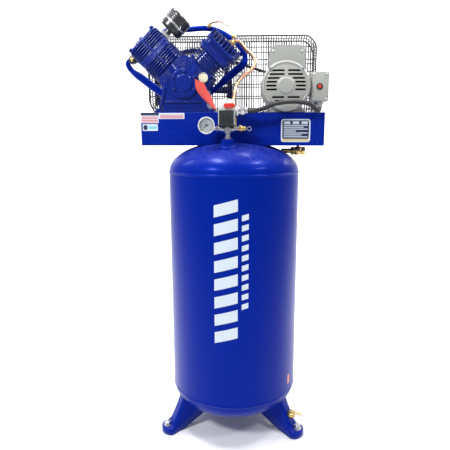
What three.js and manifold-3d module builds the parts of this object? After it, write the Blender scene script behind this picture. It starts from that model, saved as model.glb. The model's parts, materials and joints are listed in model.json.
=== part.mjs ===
// Vertical tank air compressor: upright tank on three legs, saddle platform, V-twin two-stage pump,
// electric motor, belt drive in a wire guard, and the pressure controls on the tank's top boss.
// Millimetres. X points right, Y to the back, Z up from the floor; the tank's axis is x = y = 0.

import * as THREE from 'three';
import { mergeVertices } from 'three/addons/utils/BufferGeometryUtils.js';
import Module from 'manifold-3d';

const wasm = await Module();
wasm.setup();

// ---------------------------------------------------------------- driving dimensions

const GAP = 0.3;

const TANK = { radius: 262, wall: 4.5, lowerSeam: 175, upperSeam: 1087, headDepth: 118, sides: 36 };
const LEG = { toe: 337, bolt: 313, width: 56, padWidth: 84, sheet: 4, angles: { left: 210, right: -30, rear: 90 } };
const PLATFORM = { left: -356, right: 349, front: -88, back: 150, top: 1312, drop: 125, sheet: 6 };

const CRANK = { x: -186, z: 1421, throwLength: 32, rod: 98, journal: 20, pin: 16, web: 50 };
const BANK_TILT = 45;
const DECK = 82;
const BARREL_TOP = 152;
const PLATE_TOP = 158;
const HEAD_BLOCK_TOP = 196;
const HEAD_TOP = 231;
const LOW = { side: -1, y: -8, bore: 57, barrel: 66, fin: 74, head: 70, depth: 66 };
const HIGH = { side: 1, y: 18, bore: 32, barrel: 44, fin: 68, head: 70, depth: 65 };
const FILTER = { radius: 48.5, axis: 189, start: 97, seam: 128, end: 171 };

const FLYWHEEL = { radius: 170, pitch: 165, front: 185, back: 229 };
const PULLEY = { radius: 67, pitch: 62, front: 190, back: 224 };
const BELT = { y: 207, width: 10, thickness: 10 };
const MOTOR = { x: 198, z: 1406, radius: 90, front: -129, frameFront: -95, frameBack: 95, back: 125 };

const GUARD = { front: 160, back: 295, sheet: 2.5, bar: 8 };
const GUARD_OUTLINE = [[-379, 1359], [-379, 1605], [-345, 1639], [306, 1639], [340, 1605], [340, 1290],
  [290, 1225], [-300, 1225]];

const BOSS = { x: -16, y: -137, top: 1212 };
const MANIFOLD = { y: -138, z: 1250, radius: 9 };
const GAUGE = { x: -93, z: 1262, radius: 30.6, back: -147.3, front: -172, dial: -160 };
const SWITCH = { left: -50, right: 12, front: -172, back: -122, bottom: 1264, top: 1359 };

const DEG = Math.PI / 180;

// ---------------------------------------------------------------- shape helpers

const range = (count) => [...Array(count).keys()];

/** Welds shared corners, drops the empty triangles at poles, and turns the faces outwards. */
function closed(geometry) {
  const bare = geometry.clone();
  bare.deleteAttribute('normal');
  bare.deleteAttribute('uv');
  const welded = mergeVertices(bare, 1e-3);
  const corners = welded.index.array;
  const at = (i) => new THREE.Vector3().fromBufferAttribute(welded.attributes.position, i);
  const kept = [];
  let volume = 0;
  for (let i = 0; i < corners.length; i += 3) {
    const [a, b, c] = corners.slice(i, i + 3);
    if (a !== b && b !== c && c !== a) {
      kept.push(a, b, c);
      volume += at(a).dot(at(b).cross(at(c)));
    }
  }
  welded.setIndex(volume < 0 ? kept.reverse() : kept);
  return welded;
}

function toSolid(geometry) {
  const whole = closed(geometry);
  const vertProperties = Float32Array.from(whole.attributes.position.array);
  const triVerts = Uint32Array.from(whole.index.array);
  return new wasm.Manifold(new wasm.Mesh({ numProp: 3, vertProperties, triVerts }));
}

function toGeometry(solid) {
  const { vertProperties, triVerts } = solid.getMesh();
  const geometry = new THREE.BufferGeometry();
  geometry.setAttribute('position', new THREE.BufferAttribute(vertProperties, 3));
  geometry.setIndex(new THREE.BufferAttribute(triVerts, 1));
  return geometry;
}

const join = (...pieces) => toGeometry(pieces.map(toSolid).reduce((whole, piece) => whole.add(piece)));

const cut = (body, ...tools) => (
  toGeometry(tools.map(toSolid).reduce((left, tool) => left.subtract(tool), toSolid(body))));

/** Box between two opposite faces on each axis. */
function box(x0, x1, y0, y1, z0, z1) {
  const block = new THREE.BoxGeometry(x1 - x0, y1 - y0, z1 - z0);
  return block.translate((x0 + x1) / 2, (y0 + y1) / 2, (z0 + z1) / 2);
}

/** Round bar between two points. */
function rod(radius, from, to, sides = 20) {
  const start = new THREE.Vector3(...from);
  const along = new THREE.Vector3(...to).sub(start);
  const length = along.length();
  const bar = new THREE.CylinderGeometry(radius, radius, length, sides);
  bar.translate(0, length / 2, 0);
  bar.applyQuaternion(new THREE.Quaternion().setFromUnitVectors(new THREE.Vector3(0, 1, 0), along.normalize()));
  return bar.translate(...from);
}

/** Turned shape about Z from a profile of [radius, height] points. */
function turned(profile, sides = 32) {
  const points = profile.map(([radius, height]) => new THREE.Vector2(radius, height));
  const onAxis = profile[0][0] === 0 && profile.at(-1)[0] === 0;
  if (!onAxis) points.push(points[0].clone());
  return new THREE.LatheGeometry(points, sides).rotateX(Math.PI / 2);
}

const turnedAboutY = (profile, x, z, sides) => turned(profile, sides).rotateX(-Math.PI / 2).translate(x, 0, z);

const turnedAboutX = (profile, y, z, sides) => turned(profile, sides).rotateY(Math.PI / 2).translate(0, y, z);

const outlineShape = (outline) => new THREE.Shape(outline.map(([a, b]) => new THREE.Vector2(a, b)));

/** Plate with an [x, y] outline between two heights. */
function plateZ(outline, z0, z1) {
  const plate = new THREE.ExtrudeGeometry(outlineShape(outline), { depth: z1 - z0, bevelEnabled: false });
  return plate.translate(0, 0, z0);
}

/** Plate with an [x, z] outline between two depths. */
function plateY(outline, y0, y1) {
  const plate = new THREE.ExtrudeGeometry(outlineShape(outline), { depth: y1 - y0, bevelEnabled: false });
  return plate.rotateX(Math.PI / 2).translate(0, y1, 0);
}

/** Plate with a [y, z] outline between two widths. */
function plateX(outline, x0, x1) {
  const plate = new THREE.ExtrudeGeometry(outlineShape(outline), { depth: x1 - x0, bevelEnabled: false });
  const turn = new THREE.Matrix4().makeBasis(
    new THREE.Vector3(0, 1, 0), new THREE.Vector3(0, 0, 1), new THREE.Vector3(1, 0, 0));
  return plate.applyMatrix4(turn).translate(x0, 0, 0);
}

function arc(cx, cy, radius, from, to, steps) {
  return range(steps + 1).map((i) => {
    const angle = (from + (to - from) * i / steps) * DEG;
    return [cx + radius * Math.cos(angle), cy + radius * Math.sin(angle)];
  });
}

/** Rectangle with quarter-round corners, as a list of points. */
function roundedRect(x0, x1, y0, y1, radius, steps = 3) {
  return [
    ...arc(x1 - radius, y0 + radius, radius, -90, 0, steps), ...arc(x1 - radius, y1 - radius, radius, 0, 90, steps),
    ...arc(x0 + radius, y1 - radius, radius, 90, 180, steps), ...arc(x0 + radius, y0 + radius, radius, 180, 270, steps)];
}

/** Round pipe along a smooth curve through the given points. */
function pipe(points, radius, sides, steps) {
  const path = new THREE.CatmullRomCurve3(points.map((p) => new THREE.Vector3(...p)), false, 'centripetal');
  const section = outlineShape(arc(0, 0, radius, 0, 360, sides).slice(0, -1));
  return new THREE.ExtrudeGeometry(section, { extrudePath: path, steps, bevelEnabled: false });
}

/** Outline of a belt around two wheels, a given distance outside their pitch circles. */
function beltOutline(offset) {
  const [dx, dz] = [MOTOR.x - CRANK.x, MOTOR.z - CRANK.z];
  const tilt = Math.atan2(dz, dx) / DEG;
  const [big, small] = [FLYWHEEL.pitch + offset, PULLEY.pitch + offset];
  const wrap = Math.acos((big - small) / Math.hypot(dx, dz)) / DEG;
  return [...arc(CRANK.x, CRANK.z, big, tilt + wrap, tilt + 360 - wrap, 32),
    ...arc(MOTOR.x, MOTOR.z, small, tilt - wrap, tilt + wrap, 14)];
}

// ---------------------------------------------------------------- finishes: colour, roughness, metalness

const BLUE = [0x0b2fb0, 0.28, 0.1];
const GREY = [0xa6a9a2, 0.45, 0.1];
const STEEL = [0xb4b6b8, 0.35, 0.9];
const IRON = [0x5c5f63, 0.55, 0.7];
const BRASS = [0xc9a85a, 0.3, 0.95];
const COPPER = [0xc98363, 0.3, 0.95];
const BLACK = [0x15161a, 0.5, 0.1];
const WIRE = [0x101114, 0.4, 0.3];
const RUBBER = [0x18181a, 0.85, 0];
const LIGHT_GREY = [0xc9ccca, 0.4, 0.1];
const RED = [0xc8281c, 0.35, 0];
const WHITE = [0xf0efe8, 0.4, 0];
const GLASS = [0xdfe8ea, 0.05, 0];
const ALUMINIUM = [0xa9adb0, 0.4, 0.9];
const FELT = [0xd8d2b4, 0.9, 0];

const compressor = new THREE.Group();

function add(name, geometry, [color, roughness, metalness], parent = compressor) {
  const mesh = new THREE.Mesh(closed(geometry), new THREE.MeshStandardMaterial({ color, roughness, metalness }));
  mesh.name = name;
  parent.add(mesh);
}

// ---------------------------------------------------------------- tank

/** Quarter ellipse from the crown on the axis to the seam. */
function headCurve(radius, depth, seam, up, steps = 6) {
  return range(steps + 1).map((i) => {
    const angle = 90 * (1 - i / steps) * DEG;
    return [i === 0 ? 0 : radius * Math.cos(angle), seam + up * depth * Math.sin(angle)];
  });
}

function headShell(seam, up) {
  const inside = headCurve(TANK.radius - TANK.wall, TANK.headDepth - TANK.wall, seam, up, 4);
  return turned([...headCurve(TANK.radius, TANK.headDepth, seam, up), ...inside.reverse()], TANK.sides);
}

/** The head's outer form as a solid, with working clearance, for fitting pieces against it. */
function headForm(seam, up) {
  return turned([...headCurve(TANK.radius + GAP, TANK.headDepth + GAP, seam, up), [0, seam]], TANK.sides);
}

const OUTLET = { z: 1165, pipe: 9, start: 186, seat: 229, end: 285, stem: 257 };

function addTank() {
  const { radius, wall, lowerSeam, upperSeam } = TANK;
  const sheet = [[radius - wall, lowerSeam + GAP], [radius, lowerSeam + GAP], [radius, upperSeam - GAP],
    [radius - wall, upperSeam - GAP]];
  add('tank_shell', turned(sheet, TANK.sides), BLUE);
  const bossHole = rod(20, [BOSS.x, BOSS.y, 1140], [BOSS.x, BOSS.y, 1230], 16);
  const outletHole = rod(OUTLET.pipe + 0.5, [150, 0, OUTLET.z], [240, 0, OUTLET.z], 16);
  add('tank_top_head', cut(headShell(upperSeam, 1), bossHole, outletHole), BLUE);
  add('tank_bottom_head', cut(headShell(lowerSeam, -1), rod(7, [0, 0, 50], [0, 0, 70], 12)), BLUE);
}

// ---------------------------------------------------------------- legs

const DRAIN = { height: 80, elbow: 38, pipe: 8, seat: 262.3, end: 298, stem: 287, body: 11 };

/** Pressed channel leg along +X: ridge, two side skirts and a rounded toe pad with a turned-down rim. */
function legShape(withDrainHole) {
  const half = LEG.width / 2;
  const padHalf = LEG.padWidth / 2;
  const outside = [[300, 0], [302, 30], [290, 47], [248, 140], [200, 158], [130, 100], [130, 66], [278, 0]];
  const inside = [[295, -5], [297, 26], [286, 44], [243, 137], [190, 165], [110, 110], [110, -5]];
  const channel = cut(plateY(outside, -half, half), plateY(inside, -half + LEG.sheet, half - LEG.sheet));
  const padOutline = (shrink) => [[288 + shrink, -padHalf + 14 + shrink], [300, -padHalf + shrink],
    ...arc(LEG.toe - 30, 0, 30 - shrink, -75, 75, 6).map(([x, y]) => [x, y * (padHalf - shrink) / (30 - shrink)]),
    [300, padHalf - shrink], [288 + shrink, padHalf - 14 - shrink]];
  const pad = cut(plateZ(padOutline(0), 0, 28), plateZ(padOutline(LEG.sheet), -2, 23));
  const holes = [rod(8, [LEG.bolt, 0, -5], [LEG.bolt, 0, 40], 12)];
  if (withDrainHole) holes.push(rod(DRAIN.body + 2, [250, 0, DRAIN.height], [300, 0, DRAIN.height], 12));
  return cut(join(channel, pad), plateY(inside, -half + LEG.sheet, half - LEG.sheet), ...holes);
}

function addLegs() {
  for (const [place, angle] of Object.entries(LEG.angles)) {
    const leg = legShape(place === 'right').rotateZ(angle * DEG);
    add(`leg_${place}`, cut(leg, headForm(TANK.lowerSeam, -1)), BLUE);
  }
}

// ---------------------------------------------------------------- drain and outlet valves

function addDrain() {
  const reach = (distance, height) => (
    [distance * Math.cos(LEG.angles.right * DEG), distance * Math.sin(LEG.angles.right * DEG), height]);
  const route = [[0, 0, 56.6], [0, 0, 50], reach(8, 40), reach(26, DRAIN.elbow), reach(110, 54), reach(200, 73),
    reach(236, DRAIN.height), reach(262, DRAIN.height)];
  add('drain_pipe', pipe(route, DRAIN.pipe, 8, 14), IRON);
  const body = join(
    rod(DRAIN.body, reach(DRAIN.seat, DRAIN.height), reach(DRAIN.end, DRAIN.height), 12),
    rod(6, reach(DRAIN.stem, DRAIN.height), reach(DRAIN.stem, DRAIN.height + 15), 12));
  add('drain_valve_body', cut(body, rod(5, reach(280, DRAIN.height), reach(305, DRAIN.height), 12)), BRASS);
  const height = DRAIN.height + 15 + GAP;
  const handle = join(box(-8, 8, -6, 6, 0, 5), box(0, 44, -5, 5, 0, 4));
  handle.rotateZ(LEG.angles.right * DEG).translate(...reach(DRAIN.stem, height));
  add('drain_valve_handle', handle, BRASS);
}

function addOutlet() {
  const { z, pipe: pipeRadius, start, seat, end, stem } = OUTLET;
  const body = join(
    rod(pipeRadius, [start, 0, z], [seat + 5, 0, z], 16), rod(17, [seat, 0, z], [seat + 12, 0, z], 6),
    rod(15, [seat + 12, 0, z], [end - 12, 0, z], 16), rod(17, [end - 12, 0, z], [end, 0, z], 6),
    rod(6, [stem, 0, z], [stem, 0, z + 20], 12));
  const bore = rod(6, [start - 5, 0, z], [seat + 20, 0, z], 12);
  const mouth = rod(10, [end - 14, 0, z], [end + 5, 0, z], 12);
  add('outlet_valve_body', cut(body, bore, mouth), BRASS);
  const top = z + 20 + GAP;
  add('outlet_valve_lever', join(box(stem - 9, stem + 9, -9, 9, top, top + 3),
    box(stem, stem + 72, -7, 7, top, top + 3)), RED);
}

// ---------------------------------------------------------------- platform

function addPlatform() {
  const { left, right, front, back, top, drop, sheet } = PLATFORM;
  const section = [[front, top - drop], [front + sheet, top - drop], [front + sheet, top - sheet],
    [back - sheet, top - sheet], [back - sheet, top - drop], [back, top - drop], [back, top], [front, top]];
  add('platform', cut(plateX(section, left, right), headForm(TANK.upperSeam, 1)), BLUE);
}

// ---------------------------------------------------------------- pump

/** A point given by its distance along a cylinder's axis and across it. */
function bankPoint(bank, along, across, y) {
  const tilt = bank.side * BANK_TILT * DEG;
  return [CRANK.x + along * Math.sin(tilt) + across * Math.cos(tilt), y,
    CRANK.z + along * Math.cos(tilt) - across * Math.sin(tilt)];
}

function addCrankcase() {
  const { x, z } = CRANK;
  const [front, back] = [-70, 85];
  const outline = (wall) => {
    const deck = (DECK - wall) * Math.SQRT1_2;
    const half = (62 - wall) * Math.SQRT1_2;
    return [[x - 86 + wall, PLATFORM.top + 4 + wall], [x + 86 - wall, PLATFORM.top + 4 + wall],
      [x + 86 - wall, z - 16], [x + deck + half, z + deck - half], [x + deck - half, z + deck + half],
      [x - deck + half, z + deck + half], [x - deck - half, z + deck - half], [x - 86 + wall, z - 16]];
  };
  const foot = plateZ(roundedRect(-304, -74, front - 2, back + 5, 14), PLATFORM.top + GAP, PLATFORM.top + 14);
  const rearBoss = rod(34, [x, back - 5, z], [x, back + 14, z], 24);
  const boss = rod(20, [-112, front + 5, 1438], [-112, front - 3, 1438], 16);
  const body = join(plateY(outline(0), front, back), foot, rearBoss, boss);
  const bores = [LOW, HIGH].map((bank) => (
    rod(bank.bore + 1.5, bankPoint(bank, 20, 0, bank.y), bankPoint(bank, DECK + 10, 0, bank.y), 20)));
  add('crankcase', cut(body, plateY(outline(10), front + 12, back - 13), ...bores,
    rod(46, [x, front - 5, z], [x, front + 20, z], 20),
    rod(CRANK.journal + 0.5, [x, back - 20, z], [x, back + 20, z], 24),
    rod(11, [-112, front - 8, 1438], [-112, front + 20, 1438], 12)), BLUE);
  add('bearing_cover', cut(join(rod(55, [x, front - GAP, z], [x, front - 9, z], 32),
    rod(30, [x, front - 8, z], [x, front - 15, z], 24), rod(30, [x, front - 1, z], [x, front + 16, z], 24)),
    rod(CRANK.journal + 0.5, [x, front - 8, z], [x, front + 20, z], 24)), BLUE);
  add('oil_filler_cap', join(rod(17, [-112, front - 3 - GAP, 1438], [-112, front - 15, 1438], 16),
    rod(10.4, [-112, front - 5, 1438], [-112, front + 10, 1438], 12)), WHITE);
}

function addCrankshaft() {
  const { x, z, journal, web, pin, throwLength } = CRANK;
  add('crankshaft_front', join(rod(journal, [x, -77, z], [x, -35, z], 24), rod(web, [x, -36, z], [x, -24, z], 28)),
    STEEL);
  add('crankshaft_rear', join(rod(journal, [x, 45, z], [x, 236, z], 24), rod(web, [x, 34, z], [x, 46, z], 28)), STEEL);
  add('crank_pin', rod(pin, [x, -24 + GAP, z + throwLength], [x, 34 - GAP, z + throwLength], 20), STEEL);
}

/** Distance of the wrist pins from the crankshaft with the throw straight up. */
const THROW_SIDE = CRANK.throwLength * Math.sin(BANK_TILT * DEG);
const WRIST = CRANK.throwLength * Math.cos(BANK_TILT * DEG) + Math.sqrt(CRANK.rod ** 2 - THROW_SIDE ** 2);

function addRod(name, bank) {
  const [front, back] = [bank.y - 11, bank.y + 11];
  const bigEnd = [CRANK.x, front, CRANK.z + CRANK.throwLength];
  const smallEnd = bankPoint(bank, WRIST, 0, front);
  const through = ([px, , pz], extra) => [[px, front - extra, pz], [px, back + extra, pz]];
  const beam = rod(9, [bigEnd[0], bank.y, bigEnd[2]], [smallEnd[0], bank.y, smallEnd[2]], 8);
  const body = join(rod(26, ...through(bigEnd, 0), 24), rod(14, ...through(smallEnd, 0), 16), beam);
  add(name, cut(body, rod(CRANK.pin + GAP, ...through(bigEnd, 2), 20), rod(8 + GAP, ...through(smallEnd, 2), 16)),
    ALUMINIUM);
}

/** One cylinder with its piston, valve plate and head, built upright and tilted about the crankshaft. */
function addBank(suffix, bank) {
  const group = new THREE.Group();
  group.position.set(CRANK.x, bank.y, CRANK.z);
  group.rotation.y = bank.side * BANK_TILT * DEG;
  compressor.add(group);

  const square = (half, z0, z1, round = 16) => plateZ(roundedRect(-half, half, -half, half, round, 1), z0, z1);
  const fins = range(4).map((i) => square(bank.fin, 95 + i * 13, 99 + i * 13, 22));
  const barrel = join(rod(bank.barrel, [0, 0, DECK + GAP], [0, 0, BARREL_TOP], 20),
    square(61.5, DECK + GAP, DECK + 8), square(66, BARREL_TOP - 7, BARREL_TOP), ...fins);
  add(`cylinder_${suffix}`, cut(barrel, rod(bank.bore, [0, 0, DECK - 5], [0, 0, BARREL_TOP + 5], 24)), BLUE, group);

  const skirt = WRIST - 20;
  const crown = WRIST + 20;
  const inner = bank.bore - 6;
  const piston = cut(rod(bank.bore - 0.6, [0, 0, skirt], [0, 0, crown], 24), rod(inner, [0, 0, skirt - 5],
    [0, 0, crown - 6], 12));
  add(`piston_${suffix}`, join(piston, rod(8, [0, -inner - 2, WRIST], [0, inner + 2, WRIST], 16)), ALUMINIUM, group);

  const ports = [-1, 1].map((way) => rod(9, [way * bank.bore * 0.5, 0, 150], [way * bank.bore * 0.5, 0, 170], 12));
  add(`valve_plate_${suffix}`, cut(square(66, BARREL_TOP + GAP, PLATE_TOP), ...ports), BLUE, group);

  const { head, depth } = bank;
  const block = plateZ(roundedRect(-head, head, -depth, depth, 12, 2), PLATE_TOP + GAP, HEAD_BLOCK_TOP);
  const finStep = (2 * head - 6) / 8;
  const ribs = range(9).map((i) => box(-head + i * finStep, -head + i * finStep + 5, -depth + 4, depth - 4,
    HEAD_BLOCK_TOP - 2, HEAD_TOP));
  const chambers = [-1, 1].map((way) => box(way * 24 - 18, way * 24 + 18, -44, 44, 150, HEAD_BLOCK_TOP - 10));
  const extras = bank === HIGH ? [rod(17, [8.5, 27, HEAD_BLOCK_TOP - 5], [8.5, 27, HEAD_TOP], 16)] : [];
  add(`head_${suffix}`, cut(join(block, ...ribs, ...extras), ...chambers), BLUE, group);
  return group;
}

/** Intake filter on the inner side of the low-pressure head: dish with a nipple, paper ring and cover. */
function addFilter(group) {
  const { radius, axis, start, seam, end } = FILTER;
  const dish = [[0, start], [radius - 6, start], [radius, start + 6], [radius, seam - GAP], [radius - 3, seam - GAP],
    [radius - 3, start + 8], [radius - 8, start + 3], [0, start + 3]];
  const base = join(turnedAboutX(dish, 0, axis, 28), rod(14, [LOW.head + GAP, 0, axis], [start + 2, 0, axis], 16));
  add('filter_base', cut(base, rod(11, [LOW.head - 5, 0, axis], [start + 10, 0, axis], 16)), BLACK, group);
  const cup = [[0, end], [radius - 7, end], [radius, end - 7], [radius, seam], [radius - 3, seam],
    [radius - 3, end - 9], [radius - 9, end - 3], [0, end - 3]];
  add('filter_cover', turnedAboutX(cup, 0, axis, 28), BLACK, group);
  add('filter_element', turnedAboutX([[20, start + 4], [38, start + 4], [38, end - 5], [20, end - 5]], 0, axis, 20),
    FELT, group);
}

/** Interstage pipe: over the top, round the high-pressure head, under the crankshaft and up to the other end. */
function addIntercooler() {
  const y = 110;
  const loop = [[-317, 58.5, 1580], [-317, 82, 1580], [-314, 105, 1612], [-285, y, 1648], [-200, y, 1652],
    [-110, y, 1655], [-60, y, 1640], [-14, y, 1612], [30, y, 1575], [48, y, 1545], [38, y, 1516], [5, y, 1490],
    [-50, y, 1446], [-99, y, 1405], [-145, y, 1368], [-190, y, 1352], [-240, y, 1360], [-321, y, 1408],
    [-395, y, 1462], [-438, 108, 1496], [-446, 98, 1518], [-425, 88, 1534], [-392, 78, 1529], [-385, 68, 1527],
    [-385, 58.5, 1527]];
  const branch = [[-2, 83.5, 1541], [-2, 96, 1541], [12, 108, 1550], [40, y, 1562]];
  add('intercooler', join(pipe(loop, 11, 8, 46), pipe(branch, 9, 8, 5)), BLUE);
}

function addDischarge() {
  const start = bankPoint(HIGH, HEAD_TOP + GAP, 8.5, HIGH.y + 27);
  const next = bankPoint(HIGH, HEAD_TOP + 14, 8.5, HIGH.y + 27);
  const route = [start, next, [18, 46, 1590], [45, 48, 1562], [70, 47, 1540], [83, 42, 1516], [74, 32, 1490],
    [47, 10, 1464], [23, -8, 1441], [8, -26, 1412], [4, -52, 1382], [2, -86, 1356], [5, -106, 1325],
    [5, -108, 1305], [5, -108, 1290 + GAP]];
  add('discharge_tube', pipe(route, 7.5, 8, 30), COPPER);
  add('check_valve', join(rod(11, [5, -108, 1262], [5, -108, 1290], 6), rod(9, [5, -108, 1241], [5, -108, 1264], 16)),
    BRASS);
}

// ---------------------------------------------------------------- belt drive and guard

function addDrive() {
  const { x, z } = CRANK;
  const { radius, front, back } = FLYWHEEL;
  const groove = (outer, floor) => [[outer, BELT.y - 9.5], [floor, BELT.y - 6], [floor, BELT.y + 6],
    [outer, BELT.y + 9.5]];
  const rim = turnedAboutY([[radius - 20, front], [radius, front], ...groove(radius, radius - 12), [radius, back],
    [radius - 20, back]], x, z, 36);
  const hub = rod(38, [x, front - 5, z], [x, back + 5, z], 24);
  const spokes = range(5).map((i) => (
    box(34, radius - 17, -5, 5, -17, 17).rotateX(-35 * DEG).rotateY(i * 72 * DEG).translate(x, BELT.y, z)));
  add('flywheel', cut(join(rim, hub, ...spokes), rod(CRANK.journal + GAP, [x, front - 20, z], [x, back + 20, z], 24)),
    BLUE);
  const wheel = turnedAboutY([[0, PULLEY.front], [PULLEY.radius, PULLEY.front],
    ...groove(PULLEY.radius, PULLEY.pitch - 7), [PULLEY.radius, PULLEY.back], [0, PULLEY.back]], MOTOR.x, MOTOR.z, 32);
  const bore = rod(12 + GAP, [MOTOR.x, 150, MOTOR.z], [MOTOR.x, 250, MOTOR.z], 20);
  add('motor_pulley', cut(wheel, bore), IRON);
  const half = BELT.thickness / 2;
  const [beltFront, beltBack] = [BELT.y - BELT.width / 2, BELT.y + BELT.width / 2];
  add('drive_belt', cut(plateY(beltOutline(half), beltFront, beltBack),
    plateY(beltOutline(-half), beltFront - 5, beltBack + 5)), RUBBER);
}

/** The guard's outline moved inwards by a distance, about its middle. */
function guardInset(distance) {
  const middle = [-20, 1432];
  return GUARD_OUTLINE.map((point) => point.map((value, i) => value - Math.sign(value - middle[i]) * distance));
}

/** Windows of a guard panel at one depth: a grid of openings between the bars. */
function guardWindows(y) {
  const [columns, rows] = [6, 3];
  const [stepX, stepZ] = [104, 112];
  return range(columns * rows).map((i) => {
    const left = -340 + (i % columns) * (stepX + GUARD.bar);
    const low = 1262 + Math.floor(i / columns) * (stepZ + GUARD.bar);
    return box(left, left + stepX, y - 5, y + 5, low, low + stepZ);
  });
}

function addGuard() {
  const { front, back, sheet } = GUARD;
  const shaftHoles = [rod(62, [CRANK.x, front - 10, CRANK.z], [CRANK.x, front + 10, CRANK.z], 20),
    rod(32, [MOTOR.x, front - 10, MOTOR.z], [MOTOR.x, front + 10, MOTOR.z], 16)];
  add('guard_front', cut(plateY(guardInset(3.5), front, front + sheet), ...shaftHoles, ...guardWindows(front)), WIRE);
  const shell = cut(plateY(GUARD_OUTLINE, front, back), plateY(guardInset(3), front - 5, back - sheet));
  add('guard_basket', cut(shell, ...guardWindows(back)), WIRE);
}

// ---------------------------------------------------------------- motor

function addMotor() {
  const { x, z, radius, front, frameFront, frameBack, back } = MOTOR;
  const clear = (grow) => rod(radius + grow, [x, -300, z], [x, 300, z], 28);
  add('motor_frame', turnedAboutY([[radius - 5, frameFront], [radius, frameFront], [radius, frameBack],
    [radius - 5, frameBack]], x, z, 28), GREY);
  const bell = [[0, front], [26, front], [30, front + 4], [68, front + 6], [84, front + 14], [radius, front + 26],
    [radius, frameFront - GAP], [radius - 5, frameFront - GAP], [radius - 5, front + 27], [80, front + 18],
    [66, front + 11], [22, front + 10], [22, front + 30], [12.5, front + 30], [12.5, front + 9], [0, front + 9]];
  const slots = [13, 8.5, 4, -0.5, -5, -12].flatMap((row) => {
    const height = row * 3.6;
    const inner = Math.max(8, Math.sqrt(Math.max(0, 34 ** 2 - height ** 2)));
    const outer = Math.sqrt(74 ** 2 - height ** 2) - 4;
    return [-1, 1].map((way) => (
      box(Math.min(way * inner, way * outer), Math.max(way * inner, way * outer), front - 5, front + 20,
        height - 2.6, height + 2.6).translate(x, 0, z)));
  });
  add('motor_front_bell', cut(turnedAboutY(bell, x, z, 28), ...slots), GREY);
  add('motor_rear_bell', turnedAboutY([[12.5, back], [30, back], [70, back - 6], [radius, back - 18],
    [radius, frameBack + GAP], [radius - 5, frameBack + GAP], [radius - 5, back - 20], [68, back - 11], [22, back - 8],
    [22, back - 24], [12.5, back - 24]], x, z, 28), GREY);
  add('motor_stator', turnedAboutY([[50, -52], [radius - 6, -52], [radius - 6, 60], [50, 60]], x, z, 28), IRON);
  add('motor_rotor', turnedAboutY([[0, -115], [12, -115], [12, -45], [48, -45], [48, 55], [12, 55], [12, 232],
    [0, 232]], x, z, 20), STEEL);

  const [boxLeft, boxRight, boxTop] = [136, 269, 1553];
  const cover = (wall, y0, y1) => plateY([[boxLeft + wall, 1425], [boxRight - wall, 1425],
    ...arc(boxRight - 24, boxTop - 24, 24 - wall, 0, 90, 4), ...arc(boxLeft + 24, boxTop - 24, 24 - wall, 90, 180, 4)],
  y0, y1);
  add('capacitor_box', cut(cover(0, -95, 45), cover(3, -92, 42), clear(GAP),
    box(100, 300, -120, 60, 1400, 1462)), GREY);

  const plate = box(x - 78, x + 78, -82, 72, PLATFORM.top + GAP, PLATFORM.top + 4);
  const saddles = [-70, 52].map((y) => box(x - 62, x + 62, y, y + 8, PLATFORM.top + 2, PLATFORM.top + 46));
  add('motor_base', cut(join(plate, ...saddles), clear(GAP)), GREY);
}

const TERMINAL = { left: 292, right: 357, bottom: 1350, top: 1458, front: -100, back: -10 };
const BUTTON = { x: 323, z: 1404, radius: 7 };
const CABLE_END = { x: 325, y: -84, z: 1336 };

function addTerminalBox() {
  const { left, right, bottom, top, front, back } = TERMINAL;
  const neck = rod(18, [left + 3, -55, MOTOR.z], [left - 12, -55, MOTOR.z], 16);
  const fitting = rod(13, [CABLE_END.x, CABLE_END.y, CABLE_END.z], [CABLE_END.x, CABLE_END.y, bottom + 2], 12);
  const shell = join(plateY(roundedRect(left, right, bottom, top, 8), front, back), neck, fitting);
  add('terminal_box', cut(shell, box(left + 3, right - 3, front + 3, back - 3, bottom + 3, top - 3),
    rod(13, [left + 8, -55, MOTOR.z], [left - 30, -55, MOTOR.z], 12),
    rod(MOTOR.radius + GAP, [MOTOR.x, -300, MOTOR.z], [MOTOR.x, 300, MOTOR.z], 28),
    rod(BUTTON.radius + 0.5, [BUTTON.x, front - 5, BUTTON.z], [BUTTON.x, front + 5, BUTTON.z], 16)), GREY);
  add('reset_button', join(rod(BUTTON.radius, [BUTTON.x, front - 6, BUTTON.z], [BUTTON.x, front + 8, BUTTON.z], 16),
    rod(4, [BUTTON.x, front + 7, BUTTON.z], [BUTTON.x, front + 14, BUTTON.z], 12)), RED);
}

// ---------------------------------------------------------------- controls on the top boss

function addBoss() {
  const { x, y, top } = BOSS;
  const normal = [0, -0.27, 0.963];
  const seat = [x, y, 1187];
  const offset = (distance) => seat.map((value, i) => value + normal[i] * distance);
  const ring = rod(40, offset(-25), offset(5), 28);
  const neck = rod(24, [x, y, 1170], [x, y, top], 24);
  const bores = [rod(MANIFOLD.radius + 0.5, [x, y, 1160], [x, y, top + 5], 16)];
  add('top_boss', cut(join(ring, neck), headForm(TANK.upperSeam, 1), ...bores), BLUE);
}

function addManifold() {
  const { y, z, radius } = MANIFOLD;
  const riser = rod(radius, [BOSS.x, BOSS.y, 1196], [BOSS.x, BOSS.y, z], 16);
  const bar = rod(radius, [GAUGE.x - 8, y, z], [24, y, z], 16);
  const gaugeArm = rod(8, [GAUGE.x, y, z], [GAUGE.x, y, GAUGE.z + 6], 16);
  const gaugeStub = rod(8, [GAUGE.x, y + 6, GAUGE.z], [GAUGE.x, GAUGE.back + GAP, GAUGE.z], 16);
  const plug = rod(8.5, [BOSS.x, y, z - 1], [BOSS.x, y - 18, z - 1], 6);
  const backPort = rod(8, [5, y, z], [5, -118, z], 12);
  add('manifold', join(riser, bar, gaugeArm, gaugeStub, plug, backPort), STEEL);
}

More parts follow.
